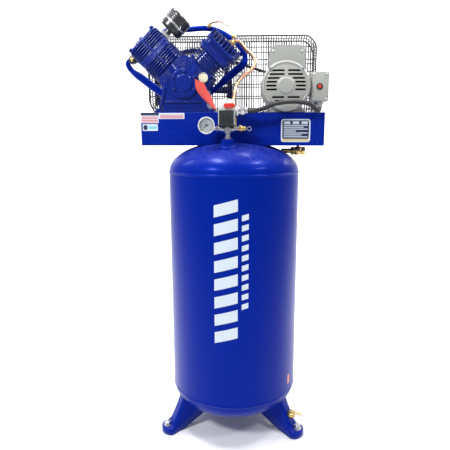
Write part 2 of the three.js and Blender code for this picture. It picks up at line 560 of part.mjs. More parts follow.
function addSwitch() {
  const { left, right, front, back, bottom, top } = SWITCH;
  const side = (wall) => [[front + wall, bottom - 1 + GAP], [back - wall, bottom - 1 + GAP], [back - wall, top - wall],
    [front + 24, top - wall], [front + wall, top - 20]];
  const body = plateX(side(0), left, right);
  const hollow = plateX([[front + 3, bottom - 10], [back - 3, bottom - 10], ...side(3).slice(2)], left + 3, right - 3);
  add('switch_cover', cut(body, hollow, rod(9, [right - 8, -144, 1314], [right + 8, -144, 1314], 12),
    rod(4.5, [-20, front - 4, 1332], [-20, front + 4, 1332], 12)), LIGHT_GREY);
  const floor = box(left + 1, right - 1, front - 8, back - 1, bottom - 5, bottom - 1);
  const panel = box(left + 4, right - 4, front - 8, front - GAP, bottom - 5, 1316);
  const block = box(left + 8, right - 8, front + 8, back - 8, bottom - 2, bottom + 26);
  add('switch_base', join(floor, panel, block), BLACK);
  add('switch_lever', join(rod(4, [-20, front + 3.5, 1332], [-20, front - 3, 1332], 12),
    rod(9, [-20, front - GAP, 1332], [-20, front - 6, 1332], 16),
    box(-20, 10, front - 7, front - 2, 1326, 1338)), RED);
  add('switch_connector', join(rod(14, [right + GAP, -144, 1314], [right + 16, -144, 1314], 6),
    rod(12, [right + 15, -144, 1314], [right + 46, -144, 1314], 16)), STEEL);
}

function addPowerCable() {
  const start = SWITCH.right + 46 + GAP;
  const { x, y, z } = CABLE_END;
  const route = [[start, -144, 1314], [start + 16, -144, 1314], [112, -148, 1322], [146, -150, 1336],
    [182, -150, 1344], [222, -150, 1347], [262, -148, 1344], [290, -142, 1336], [308, -128, 1321], [320, -108, 1316],
    [x, y - 6, 1324], [x, y, z - 3], [x, y, z - GAP]];
  add('power_cable', pipe(route, 9, 8, 24), IRON);
}

function addGauge() {
  const { x, z, radius, back, front, dial } = GAUGE;
  add('gauge_case', turnedAboutY([[0, back], [radius - 3, back], [radius, back - 3], [radius, front],
    [radius - 2.8, front], [radius - 2.8, dial], [0, dial]], x, z, 32), WHITE);
  const needle = join(rod(3.5, [0, dial - 0.5, 0], [0, dial - 3, 0], 12), box(-5, 21, dial - 2.4, dial - 1.4, -1, 1));
  add('gauge_needle', needle.rotateY(135 * DEG).translate(x, 0, z), BLACK);
  add('gauge_lens', rod(radius - 3.2, [x, front + 1, z], [x, front + 3, z], 32), GLASS);
}

function addSafetyValve() {
  const { y, z } = MANIFOLD;
  const profile = [[0, 24 + GAP], [10, 24 + GAP], [10, 30], [12, 31], [12, 38], [9, 40], [9, 52], [2.8, 52],
    [2.8, 42], [0, 42]];
  add('safety_valve', turnedAboutX(profile, y, z, 16), BRASS);
  const ring = new THREE.TorusGeometry(7, 1.3, 8, 20).rotateX(Math.PI / 2).translate(64, y, z);
  add('safety_ring', join(rod(2.2, [44, y, z], [58, y, z], 10), ring), STEEL);
}

// ---------------------------------------------------------------- assembly

addTank();
addLegs();
addDrain();
addOutlet();
addPlatform();
addCrankcase();
addCrankshaft();
addRod('rod_low', LOW);
addRod('rod_high', HIGH);
addFilter(addBank('low', LOW));
addBank('high', HIGH);
addIntercooler();
addDischarge();
addDrive();
addGuard();
addMotor();
addTerminalBox();
addBoss();
addManifold();
addSwitch();
addPowerCable();
addGauge();
addSafetyValve();

// The origin is the middle of the whole object's footprint, on the floor.
const reach = new THREE.Box3().setFromObject(compressor, true);
const middle = reach.getCenter(new THREE.Vector3());
compressor.position.set(-middle.x, -middle.y, -reach.min.z);

export default compressor;
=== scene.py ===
# %% [markdown]
# # Vertical tank compressor
# A workshop compressor: an upright air tank on three pressed legs, a folded platform welded on its top head,
# a two-cylinder pump, an electric motor, a belt drive in a wire guard, and the pressure controls.
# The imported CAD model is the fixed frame. Every piece below is worked out in millimetres about the tank's axis
# and then put into that frame, so each one lands on the CAD solid that it stands for.

# %% Load the frame
import json
import math

import bmesh
import bpy
import numpy as np
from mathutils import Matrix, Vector


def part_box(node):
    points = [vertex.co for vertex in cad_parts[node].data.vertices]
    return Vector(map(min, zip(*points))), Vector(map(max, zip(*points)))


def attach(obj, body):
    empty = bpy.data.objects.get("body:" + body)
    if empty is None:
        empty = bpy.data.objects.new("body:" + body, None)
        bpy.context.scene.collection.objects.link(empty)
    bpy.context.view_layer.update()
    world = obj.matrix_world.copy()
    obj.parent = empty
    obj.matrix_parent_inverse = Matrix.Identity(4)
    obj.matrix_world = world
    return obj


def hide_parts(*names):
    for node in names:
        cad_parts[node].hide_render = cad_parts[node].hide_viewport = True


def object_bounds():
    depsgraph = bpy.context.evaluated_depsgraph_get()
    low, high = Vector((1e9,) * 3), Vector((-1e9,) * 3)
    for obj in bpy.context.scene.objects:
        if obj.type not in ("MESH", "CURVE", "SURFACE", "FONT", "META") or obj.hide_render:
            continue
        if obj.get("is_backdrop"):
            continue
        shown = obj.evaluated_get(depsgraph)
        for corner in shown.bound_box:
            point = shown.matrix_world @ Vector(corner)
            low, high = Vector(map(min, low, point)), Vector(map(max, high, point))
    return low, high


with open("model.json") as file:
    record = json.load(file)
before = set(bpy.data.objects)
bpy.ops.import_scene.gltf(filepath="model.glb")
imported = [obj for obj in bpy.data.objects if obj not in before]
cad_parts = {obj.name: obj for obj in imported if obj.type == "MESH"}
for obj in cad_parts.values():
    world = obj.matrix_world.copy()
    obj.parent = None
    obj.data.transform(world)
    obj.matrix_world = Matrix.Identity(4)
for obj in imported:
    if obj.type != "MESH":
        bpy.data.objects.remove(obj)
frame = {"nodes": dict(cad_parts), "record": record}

cad_low, cad_high = (list(corner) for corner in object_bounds())
nodes = frame["nodes"]
slot_of = {part["node"]: part["material_slot"] for part in frame["record"]["subparts"]}
shell_low, shell_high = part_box("tank_shell")
TANK_AXIS = np.array([(shell_low.x + shell_high.x) / 2, (shell_low.y + shell_high.y) / 2, 0.0])
MM = 0.001
print("CAD box", cad_low, cad_high, "tank axis", TANK_AXIS)


def place(points):
    """Millimetres about the tank's axis become metres in the frame: scale, then shift to the axis."""
    return np.asarray(points, float) * MM + TANK_AXIS


def node_box(node):
    """Lowest and highest corner of a CAD node, in millimetres about the tank's axis."""
    return [(np.array(corner) - TANK_AXIS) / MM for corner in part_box(node)]


# %% [markdown]
# ## Shapes as arrays
# A shape here is a pair: an array of points and a list of faces. Most metal pieces are either turned (a profile
# carried round an axis), swept (a section carried along a path) or pressed (a grid of stations). Each is one
# formula on a grid of two parameters, so numpy makes all its points at once.

# %% Grid, turned and swept shapes
def unit(vector):
    """Vector divided by its length."""
    vector = np.asarray(vector, float)
    return vector / np.linalg.norm(vector)


def cross_axes(axis):
    """Two unit vectors square to an axis and to each other."""
    axis = unit(axis)
    helper = np.array([0.0, 0.0, 1.0]) if abs(axis[2]) < 0.9 else np.array([1.0, 0.0, 0.0])
    side = unit(np.cross(helper, axis))
    return side, np.cross(axis, side)


def grid_faces(rows, columns, wrap_rows=False, wrap_columns=True):
    """Quads between neighbouring points of a grid numbered row by row."""
    row = np.arange(rows if wrap_rows else rows - 1)
    column = np.arange(columns if wrap_columns else columns - 1)
    r, c = (part.ravel() for part in np.meshgrid(row, column, indexing="ij"))
    r2, c2 = (r + 1) % rows, (c + 1) % columns
    return np.stack([r * columns + c, r * columns + c2, r2 * columns + c2, r2 * columns + c], axis=1).tolist()


def skin(grid, ends=True, wrap_rows=False):
    """Closed skin over a grid of rings; the first and last ring are closed by a flat face."""
    rows, columns = grid.shape[:2]
    faces = grid_faces(rows, columns, wrap_rows)
    if ends and not wrap_rows:
        faces += [list(range(columns))[::-1], list(range((rows - 1) * columns, rows * columns))]
    return grid.reshape(-1, 3), faces


def turned(profile, origin=(0, 0, 0), axis=(0, 0, 1), sides=96, ring=False):
    """Profile of (radius, along) carried round the axis: origin + axis * along + radius * direction."""
    profile = np.asarray(profile, float)
    axis = unit(axis)
    side, up = cross_axes(axis)
    angle = np.linspace(0, 2 * np.pi, sides, endpoint=False)
    direction = np.cos(angle)[:, None] * side + np.sin(angle)[:, None] * up
    radius, along = profile[:, 0, None, None], profile[:, 1, None, None]
    return skin(np.asarray(origin, float) + axis * along + radius * direction, wrap_rows=ring)


def soft_turned(corners, soft, *where, **how):
    """Turned shape whose profile corners are softened first."""
    return turned(softened_profile(corners, soft), *where, **how)


def softened_profile(corners, radius=1.5, steps=4):
    """Polyline with each inner corner replaced by a quadratic curve, a radius long on each side."""
    corners = np.asarray(corners, float)
    parts = [corners[:1]]
    for before, corner, after in zip(corners[:-2], corners[1:-1], corners[2:]):
        start = corner + unit(before - corner) * min(radius, np.linalg.norm(before - corner) * 0.45)
        end = corner + unit(after - corner) * min(radius, np.linalg.norm(after - corner) * 0.45)
        t = np.linspace(0, 1, steps)[:, None]
        parts.append((1 - t) ** 2 * start + 2 * t * (1 - t) * corner + t ** 2 * end)
    return np.concatenate(parts + [corners[-1:]])


def smooth_path(points, count):
    """Centripetal Catmull-Rom curve through the points, sampled evenly in its parameter."""
    p = np.asarray(points, float)
    p = np.vstack([2 * p[0] - p[1], p, 2 * p[-1] - p[-2]])
    knots = np.concatenate([[0], np.cumsum(np.linalg.norm(np.diff(p, axis=0), axis=1) ** 0.5)])
    t = np.linspace(knots[1], knots[-2], count)
    k = np.clip(np.searchsorted(knots, t, side="right") - 1, 1, len(p) - 3)
    t0, t1, t2, t3 = (knots[k + i][:, None] for i in (-1, 0, 1, 2))
    p0, p1, p2, p3 = (p[k + i] for i in (-1, 0, 1, 2))
    t = t[:, None]
    a1 = ((t1 - t) * p0 + (t - t0) * p1) / (t1 - t0)
    a2 = ((t2 - t) * p1 + (t - t1) * p2) / (t2 - t1)
    a3 = ((t3 - t) * p2 + (t - t2) * p3) / (t3 - t2)
    b1 = ((t2 - t) * a1 + (t - t0) * a2) / (t2 - t0)
    b2 = ((t3 - t) * a2 + (t - t1) * a3) / (t3 - t1)
    return ((t2 - t) * b1 + (t - t1) * b2) / (t2 - t1)


def swept(path, radius, sides=20, closed=False):
    """Round section carried along a path, its frame turned as little as possible from point to point."""
    path = np.asarray(path, float)
    tangent = np.roll(path, -1, 0) - np.roll(path, 1, 0) if closed else np.gradient(path, axis=0)
    tangent /= np.linalg.norm(tangent, axis=1)[:, None]
    normals = [cross_axes(tangent[0])[0]]
    for direction in tangent[1:]:
        normals.append(unit(normals[-1] - direction * np.dot(normals[-1], direction)))
    normal = np.array(normals)[:, None]
    binormal = np.cross(tangent, normal[:, 0])[:, None]
    angle = np.linspace(0, 2 * np.pi, sides, endpoint=False)[None, :, None]
    radius = np.broadcast_to(np.asarray(radius, float), (len(path),))[:, None, None]
    grid = path[:, None] + radius * (np.cos(angle) * normal + np.sin(angle) * binormal)
    return skin(grid, wrap_rows=closed)


# %% [markdown]
# ## Blocks, copies and many wires
# Boxes and cast blocks have small rounds on every edge, because a sharp edge catches no light. Bolts, wires
# and ticks repeat, so one small shape is copied to many places as one array.

# %% Rounded blocks, repeated shapes and wires
def beveled(shape, radius, segments):
    """Closed shape with a round on every edge that bends by more than half a radian."""
    mesh = bpy.data.meshes.new("rounding")
    mesh.from_pydata(shape[0].tolist(), [], shape[1])
    bm = bmesh.new()
    bm.from_mesh(mesh)
    bmesh.ops.recalc_face_normals(bm, faces=bm.faces)
    edges = [edge for edge in bm.edges if len(edge.link_faces) == 2 and edge.calc_face_angle(0) > 0.5]
    bmesh.ops.bevel(bm, geom=edges, offset=radius, segments=segments, profile=0.5, affect="EDGES",
                    clamp_overlap=True)
    bm.to_mesh(mesh)
    bm.free()
    points = np.empty(len(mesh.vertices) * 3, np.float32)
    mesh.vertices.foreach_get("co", points)
    faces = [list(face.vertices) for face in mesh.polygons]
    bpy.data.meshes.remove(mesh)
    return points.reshape(-1, 3).astype(float), faces


def prism(outline, low, high, axis=1, radius=1.0, segments=2):
    """Flat outline of two coordinates, repeated at two places along the third axis, with rounded edges."""
    outline = np.asarray(outline, float)
    return beveled(skin(np.stack([np.insert(outline, axis, level, axis=1) for level in (low, high)])), radius,
                   segments)


def block(low, high, radius=2.0, segments=3):
    """Box between two corners with every edge rounded: a prism over its rectangle."""
    (x0, y0, z0), (x1, y1, z1) = low, high
    return prism([(x0, y0), (x1, y0), (x1, y1), (x0, y1)], z0, z1, 2, radius, segments)


def rounded_outline(low, high, radius, steps=6):
    """Rectangle between two corners with quarter-circle corners."""
    (x0, y0), (x1, y1) = low, high
    turn = np.linspace(0, np.pi / 2, steps)
    centres = [(x1 - radius, y1 - radius, 0), (x0 + radius, y1 - radius, 1), (x0 + radius, y0 + radius, 2),
               (x1 - radius, y0 + radius, 3)]
    return np.concatenate([np.stack([cx + radius * np.cos(turn + k * np.pi / 2),
                                     cy + radius * np.sin(turn + k * np.pi / 2)], axis=1) for cx, cy,
                           k in centres])


def merged(*shapes):
    """Several shapes as one."""
    points, faces, start = [], [], 0
    for shape_points, shape_faces in shapes:
        points.append(shape_points)
        faces += [[index + start for index in face] for face in shape_faces]
        start += len(shape_points)
    return np.concatenate(points), faces


def copied(shape, origins, axes):
    """One shape, drawn along +Z, put at each origin with its Z along each axis."""
    origins = np.atleast_2d(origins)
    axes = np.broadcast_to(np.asarray(axes, float), origins.shape)
    sides = [cross_axes(axis) for axis in axes]
    matrices = np.array([[side, up, unit(axis)] for (side, up), axis in zip(sides, axes)])
    points = np.einsum("pk,nkj->npj", shape[0], matrices) + origins[:, None]
    count = len(shape[0])
    faces = [[index + i * count for index in face] for i in range(len(origins)) for face in shape[1]]
    return points.reshape(-1, 3), faces


def wires(starts, ends, radius, sides=6):
    """Straight round wires between matching rows of two arrays of points."""
    starts, ends = np.atleast_2d(starts).astype(float), np.atleast_2d(ends).astype(float)
    along = ends - starts
    along /= np.linalg.norm(along, axis=1)[:, None]
    helper = np.where(np.abs(along[:, 2:3]) < 0.9, [[0.0, 0.0, 1.0]], [[1.0, 0.0, 0.0]])
    side = np.cross(helper, along)
    side /= np.linalg.norm(side, axis=1)[:, None]
    up = np.cross(along, side)
    angle = np.linspace(0, 2 * np.pi, sides, endpoint=False)[None, :, None]
    ring = radius * (np.cos(angle) * side[:, None] + np.sin(angle) * up[:, None])
    points = np.stack([starts[:, None] + ring, ends[:, None] + ring], axis=1).reshape(-1, 3)
    one = grid_faces(2, sides) + [list(range(sides))[::-1], list(range(sides, 2 * sides))]
    faces = [[index + i * 2 * sides for index in face] for i in range(len(starts)) for face in one]
    return points, faces


# %% Making a piece from a shape
def new_piece(name, shape, material, body="root", slot=None, replaces=(), sharp=38):
    """Mesh object at the origin with its place in its mesh, welded, facing outwards and riding on a body."""
    mesh = bpy.data.meshes.new(name)
    mesh.from_pydata(place(shape[0]).tolist(), [], shape[1])
    bm = bmesh.new()
    bm.from_mesh(mesh)
    bmesh.ops.remove_doubles(bm, verts=bm.verts, dist=1e-6)
    bmesh.ops.dissolve_degenerate(bm, dist=1e-7, edges=bm.edges)
    bmesh.ops.recalc_face_normals(bm, faces=bm.faces)
    bm.to_mesh(mesh)
    bm.free()
    return finished(name, mesh, material, body, slot, replaces, sharp)


def finished(name, mesh, material, body, slot, replaces, sharp):
    """Shading, material and body, the same for every piece; the slot is worked out but not stored."""
    mesh.shade_smooth()
    mesh.set_sharp_from_angle(angle=math.radians(sharp))
    mesh.materials.clear()
    mesh.materials.append(material)
    piece = bpy.data.objects.new(name, mesh)
    bpy.context.scene.collection.objects.link(piece)
    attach(piece, body)
    slot or slot_of[replaces[0]]
    if replaces:
        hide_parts(*replaces)
    print(name, "rides on", body, "with", len(mesh.vertices), "points")
    return piece


def softened_node(node, material, radius=2.0, segments=3, body="root", angle=40):
    """Copy of a CAD node with its flat facets joined and a Bevel modifier on its real edges."""
    bm = bmesh.new()
    bm.from_mesh(nodes[node].data)
    bmesh.ops.remove_doubles(bm, verts=bm.verts, dist=1e-6)
    bmesh.ops.dissolve_limit(bm, angle_limit=math.radians(1), verts=bm.verts, edges=bm.edges)
    mesh = bpy.data.meshes.new(node + "_soft")
    bm.to_mesh(mesh)
    bm.free()
    piece = finished(mesh.name, mesh, material, body, slot_of[node], (node,), angle)
    bevel = piece.modifiers.new("Edge rounds", "BEVEL")
    bevel.width = radius * MM
    bevel.segments = segments
    bevel.limit_method = "ANGLE"
    bevel.angle_limit = math.radians(angle)
    bevel.use_clamp_overlap = True
    return piece


# %% [markdown]
# ## Camera, floor and light
# The camera stands at chest height about two metres in front, a little to the right, and looks down eleven
# degrees. The lens is shifted a touch so that the tank stands right of the middle. Large soft lamps draw long
# highlights on the gloss enamel, and a pale floor that curves up into a wall keeps the ground quiet.

# %% Camera
CAMERA_DISTANCE = 1908
CAMERA_HEIGHT = 1232
CAMERA_AZIMUTH = math.radians(2.9)
CAMERA_PITCH = math.radians(11.1)
camera_data = bpy.data.cameras.new("camera")
camera_data.lens = 37.2
camera_data.sensor_width = 36
camera_data.shift_x = -0.02
camera = bpy.data.objects.new("camera", camera_data)
camera.location = place([CAMERA_DISTANCE * math.sin(CAMERA_AZIMUTH),
                         -CAMERA_DISTANCE * math.cos(CAMERA_AZIMUTH), CAMERA_HEIGHT])
camera.rotation_euler = (math.pi / 2 - CAMERA_PITCH, 0, CAMERA_AZIMUTH)
bpy.context.scene.collection.objects.link(camera)
bpy.context.scene.camera = camera
bpy.context.scene.view_settings.view_transform = "Standard"


# %% Floor and backdrop in one sweep
def studio_floor(half=9000, back=3000, bend=1500, wall=5000):
    """Strip that runs flat to the back, turns up through a quarter circle and rises as a wall."""
    turn = np.linspace(0, np.pi / 2, 24)
    depth = np.concatenate([[-12000], back + bend * np.sin(turn), [back + bend]])
    height = np.concatenate([[0], bend * (1 - np.cos(turn)), [wall]])
    across = np.array([-half, half])
    grid = np.stack(np.broadcast_arrays(across[None, :], depth[:, None], height[:, None]), axis=2)
    return grid.reshape(-1, 3), [face[::-1] for face in grid_faces(len(depth), 2, wrap_columns=False)]


floor_points, floor_faces = studio_floor()
floor_mesh = bpy.data.meshes.new("studio_floor")
floor_mesh.from_pydata(place(floor_points).tolist(), [], floor_faces)
floor_mesh.shade_smooth()
floor = bpy.data.objects.new("studio_floor", floor_mesh)
bpy.context.scene.collection.objects.link(floor)
floor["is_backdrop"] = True


# %% Lamps
def soft_lamp(name, position, target, size, power):
    """Rectangular area lamp at a position, turned towards a target; sizes in metres, power in watts."""
    data = bpy.data.lights.new(name, "AREA")
    data.shape = "RECTANGLE"
    data.size, data.size_y = size
    data.energy = power
    lamp = bpy.data.objects.new(name, data)
    lamp.location = place(position)
    lamp.rotation_euler = Vector(place(target) - place(position)).to_track_quat("-Z", "Y").to_euler()
    bpy.context.scene.collection.objects.link(lamp)


soft_lamp("key", (-1700, -2200, 3000), (0, 0, 1000), (0.8, 0.5), 84)
soft_lamp("fill", (2100, -1500, 3100), (0, 0, 1100), (0.8, 0.4), 30)
soft_lamp("top_left", (-680, -190, 3350), (0, 0, 1200), (0.7, 0.3), 40)
soft_lamp("top_right", (1050, -260, 3150), (0, 0, 1200), (0.5, 0.25), 24)
soft_lamp("rim_left", (-2200, 1100, 2900), (0, 0, 1200), (0.8, 0.8), 32)
soft_lamp("rim_right", (2200, 1300, 2900), (0, 0, 1200), (0.8, 0.8), 32)
soft_lamp("backdrop", (0, 1300, 4200), (0, 4400, 1500), (3.0, 1.0), 260)
world = bpy.data.worlds.new("studio")
bpy.context.scene.world = world
world.use_nodes = True
world.node_tree.nodes["Background"].inputs["Color"].default_value = (0.93, 0.95, 1.0, 1)
world.node_tree.nodes["Background"].inputs["Strength"].default_value = 0.36

# %% [markdown]
# ## Finishes
# Gloss enamel over steel is never quite even: it has a fine orange peel, a slow change of tone, a little dust
# where it faces up, and worn edges. These effects are node groups, built once and given their own values in
# each material. The shader itself stays in the material.


# %% Node helpers
def new_group(name, inputs, outputs):
    """Empty shader group with named sockets."""
    tree = bpy.data.node_groups.new(name, "ShaderNodeTree")
    for label, kind, value in inputs:
        tree.interface.new_socket(label, in_out="INPUT", socket_type=kind).default_value = value
    for label, kind in outputs:
        tree.interface.new_socket(label, in_out="OUTPUT", socket_type=kind)
    return tree, tree.nodes.new("NodeGroupInput"), tree.nodes.new("NodeGroupOutput")


def add_node(tree, kind, settings=(), **values):
    """One node with its settings and the values of its sockets."""
    node = tree.nodes.new(kind)
    for key, value in dict(settings).items():
        setattr(node, key, value)
    for key, value in values.items():
        node.inputs[key.replace("_", " ")].default_value = value
    return node


# %% Group: bumps of orange peel or casting grain
def make_grain_group():
    """Noise at two scales as a bump: coarse waves plus a third of fine ones."""
    tree, source, sink = new_group("Surface grain", [
        ("Scale", "NodeSocketFloat", 200.0), ("Strength", "NodeSocketFloat", 0.1),
        ("Depth", "NodeSocketFloat", 0.001)], [("Normal", "NodeSocketVector"), ("Height", "NodeSocketFloat")])
    coordinates = add_node(tree, "ShaderNodeTexCoord")
    coarse = add_node(tree, "ShaderNodeTexNoise", Detail=3.0, Roughness=0.5)
    fine_scale = add_node(tree, "ShaderNodeMath", {"operation": "MULTIPLY"})
    fine_scale.inputs[1].default_value = 3.7
    fine = add_node(tree, "ShaderNodeTexNoise", Detail=2.0, Roughness=0.6)
    mix = add_node(tree, "ShaderNodeMath", {"operation": "MULTIPLY_ADD"})
    mix.inputs[1].default_value = 0.33
    bump = add_node(tree, "ShaderNodeBump")
    link = tree.links.new
    link(source.outputs["Scale"], coarse.inputs["Scale"])
    link(source.outputs["Scale"], fine_scale.inputs[0])
    link(fine_scale.outputs[0], fine.inputs["Scale"])
    link(coordinates.outputs["Object"], coarse.inputs["Vector"])
    link(coordinates.outputs["Object"], fine.inputs["Vector"])
    link(fine.outputs["Fac"], mix.inputs[0])
    link(coarse.outputs["Fac"], mix.inputs[2])
    link(mix.outputs[0], bump.inputs["Height"])
    link(source.outputs["Strength"], bump.inputs["Strength"])
    link(source.outputs["Depth"], bump.inputs["Distance"])
    link(bump.outputs["Normal"], sink.inputs["Normal"])
    link(mix.outputs[0], sink.inputs["Height"])
    return tree


# %% Group: tone that drifts over the surface, with dust on what faces up and worn edges
def make_tone_group():
    """Colour times a slow noise; dust by the upward part of the normal; bare colour where edges stick out."""
    tree, source, sink = new_group("Tone dust and wear", [("Color", "NodeSocketColor", (0.5, 0.5, 0.5, 1)),
            ("Dark Color", "NodeSocketColor", (0.3, 0.3, 0.3, 1)), ("Wear Color", "NodeSocketColor", (0.6,
            0.6, 0.6, 1)), ("Tone Scale", "NodeSocketFloat", 6.0), ("Tone", "NodeSocketFloat", 0.3), ("Dust",
            "NodeSocketFloat", 0.1), ("Wear", "NodeSocketFloat", 0.2), ("Roughness", "NodeSocketFloat", 0.3)],
                                   [("Color", "NodeSocketColor"), ("Roughness", "NodeSocketFloat")])
    link = tree.links.new
    coordinates = add_node(tree, "ShaderNodeTexCoord")
    geometry = add_node(tree, "ShaderNodeNewGeometry")
    slow = add_node(tree, "ShaderNodeTexNoise", Detail=5.0, Roughness=0.6)
    link(source.outputs["Tone Scale"], slow.inputs["Scale"])
    link(coordinates.outputs["Object"], slow.inputs["Vector"])
    amount = add_node(tree, "ShaderNodeMath", {"operation": "MULTIPLY", "use_clamp": True})
    link(slow.outputs["Fac"], amount.inputs[0])
    link(source.outputs["Tone"], amount.inputs[1])
    toned = add_node(tree, "ShaderNodeMix", {"data_type": "RGBA"})
    link(amount.outputs[0], toned.inputs["Factor"])
    link(source.outputs["Color"], toned.inputs["A"])
    link(source.outputs["Dark Color"], toned.inputs["B"])

    split = add_node(tree, "ShaderNodeSeparateXYZ")
    link(geometry.outputs["Normal"], split.inputs[0])
    facing_up = add_node(tree, "ShaderNodeMapRange", From_Min=0.55, From_Max=1.0)
    link(split.outputs["Z"], facing_up.inputs["Value"])
    specks = add_node(tree, "ShaderNodeTexNoise", Scale=90.0, Detail=6.0, Roughness=0.7)
    link(coordinates.outputs["Object"], specks.inputs["Vector"])
    speck_mask = add_node(tree, "ShaderNodeMapRange", From_Min=0.42, From_Max=0.7)
    link(specks.outputs["Fac"], speck_mask.inputs["Value"])
    dust = add_node(tree, "ShaderNodeMath", {"operation": "MULTIPLY"})
    link(facing_up.outputs["Result"], dust.inputs[0])
    link(speck_mask.outputs["Result"], dust.inputs[1])
    dust_amount = add_node(tree, "ShaderNodeMath", {"operation": "MULTIPLY", "use_clamp": True})
    link(dust.outputs[0], dust_amount.inputs[0])
    link(source.outputs["Dust"], dust_amount.inputs[1])
    dusty = add_node(tree, "ShaderNodeMix", {"data_type": "RGBA"})
    dusty.inputs["B"].default_value = (0.45, 0.43, 0.40, 1)
    link(dust_amount.outputs[0], dusty.inputs["Factor"])
    link(toned.outputs["Result"], dusty.inputs["A"])

    edge = add_node(tree, "ShaderNodeMapRange", From_Min=0.52, From_Max=0.62)
    link(geometry.outputs["Pointiness"], edge.inputs["Value"])
    chips = add_node(tree, "ShaderNodeTexNoise", Scale=160.0, Detail=4.0, Roughness=0.7)
    link(coordinates.outputs["Object"], chips.inputs["Vector"])
    chip_mask = add_node(tree, "ShaderNodeMapRange", From_Min=0.5, From_Max=0.62)
    link(chips.outputs["Fac"], chip_mask.inputs["Value"])
    worn = add_node(tree, "ShaderNodeMath", {"operation": "MULTIPLY"})
    link(edge.outputs["Result"], worn.inputs[0])
    link(chip_mask.outputs["Result"], worn.inputs[1])
    worn_amount = add_node(tree, "ShaderNodeMath", {"operation": "MULTIPLY", "use_clamp": True})
    link(worn.outputs[0], worn_amount.inputs[0])
    link(source.outputs["Wear"], worn_amount.inputs[1])
    final = add_node(tree, "ShaderNodeMix", {"data_type": "RGBA"})
    link(worn_amount.outputs[0], final.inputs["Factor"])
    link(dusty.outputs["Result"], final.inputs["A"])
    link(source.outputs["Wear Color"], final.inputs["B"])
    link(final.outputs["Result"], sink.inputs["Color"])

    rougher = add_node(tree, "ShaderNodeMath", {"operation": "MULTIPLY_ADD"})
    rougher.inputs[1].default_value = 0.5
    link(dust_amount.outputs[0], rougher.inputs[0])
    link(source.outputs["Roughness"], rougher.inputs[2])
    varied = add_node(tree, "ShaderNodeMath", {"operation": "MULTIPLY_ADD", "use_clamp": True})
    varied.inputs[1].default_value = 0.12
    link(slow.outputs["Fac"], varied.inputs[0])
    link(rougher.outputs[0], varied.inputs[2])
    link(varied.outputs[0], sink.inputs["Roughness"])
    return tree


# %% Group: fine lines left by a lathe or a brush
def make_brushed_group():
    """Noise stretched along the object's height, as a bump and as a plain value that no material here uses."""
    tree, source, sink = new_group("Brushed lines", [("Scale", "NodeSocketFloat", 40.0), ("Stretch",
            "NodeSocketVector", (1, 1, 20)), ("Strength", "NodeSocketFloat", 0.08)], [("Normal",
            "NodeSocketVector"), ("Lines", "NodeSocketFloat")])
    link = tree.links.new
    coordinates = add_node(tree, "ShaderNodeTexCoord")
    stretch = add_node(tree, "ShaderNodeVectorMath", {"operation": "MULTIPLY"})
    lines = add_node(tree, "ShaderNodeTexNoise", Detail=4.0, Roughness=0.7)
    bump = add_node(tree, "ShaderNodeBump", Distance=0.0005)
    link(coordinates.outputs["Object"], stretch.inputs[0])
    link(source.outputs["Stretch"], stretch.inputs[1])
    link(stretch.outputs[0], lines.inputs["Vector"])
    link(source.outputs["Scale"], lines.inputs["Scale"])
    link(lines.outputs["Fac"], bump.inputs["Height"])
    link(source.outputs["Strength"], bump.inputs["Strength"])
    link(bump.outputs["Normal"], sink.inputs["Normal"])
    link(lines.outputs["Fac"], sink.inputs["Lines"])
    return tree


GRAIN = make_grain_group()
TONE = make_tone_group()
BRUSHED = make_brushed_group()
print("node groups", [group.name for group in bpy.data.node_groups])


# %% One builder for painted, moulded and cast finishes, one for bare metal
def new_material(name):
    """Material with its node tree and its Principled shader."""
    material = bpy.data.materials.new(name)
    material.use_nodes = True
    return material, material.node_tree, material.node_tree.nodes["Principled BSDF"]


def set_shader(shader, values):
    """Plain values on the shader's own sockets."""
    for label, value in values.items():
        shader.inputs[label].default_value = value


def coated(name, color, dark, roughness, wear_color=(0.35, 0.35, 0.36), tone=0.4, tone_scale=6.0, dust=0.1,
           wear=0.2, grain=(220.0, 0.05, 0.001), shader_values=None):
    """Painted, moulded or cast surface: drifting tone, dust, edge wear and a grain bump."""
    material, tree, shader = new_material(name)
    surface = tree.nodes.new("ShaderNodeGroup")
    surface.node_tree = TONE
    for label, value in {"Color": (*color, 1), "Dark Color": (*dark, 1), "Wear Color": (*wear_color, 1),
                         "Tone Scale": tone_scale, "Tone": tone, "Dust": dust, "Wear": wear,
                         "Roughness": roughness}.items():
        surface.inputs[label].default_value = value
    bumps = tree.nodes.new("ShaderNodeGroup")
    bumps.node_tree = GRAIN
    for label, value in zip(("Scale", "Strength", "Depth"), grain):
        bumps.inputs[label].default_value = value
    tree.links.new(surface.outputs["Color"], shader.inputs["Base Color"])
    tree.links.new(surface.outputs["Roughness"], shader.inputs["Roughness"])
    tree.links.new(bumps.outputs["Normal"], shader.inputs["Normal"])
    set_shader(shader, shader_values or {})
    return material


def bare_metal(name, color, dark, roughness, stretch=(1, 1, 20), line_strength=0.08, tone=0.5,
               tone_scale=14.0):
    """Metal without paint: drifting tone on a metallic shader, with brushed or turned lines."""
    material = coated(name, color, dark, roughness, wear_color=color, tone=tone, tone_scale=tone_scale,
                      dust=0.05, wear=0.0)
    tree = material.node_tree
    shader = tree.nodes["Principled BSDF"]
    lines = tree.nodes.new("ShaderNodeGroup")
    lines.node_tree = BRUSHED
    lines.inputs["Stretch"].default_value = stretch
    lines.inputs["Strength"].default_value = line_strength
    tree.links.new(lines.outputs["Normal"], shader.inputs["Normal"])
    set_shader(shader, {"Metallic": 1.0})
    return material


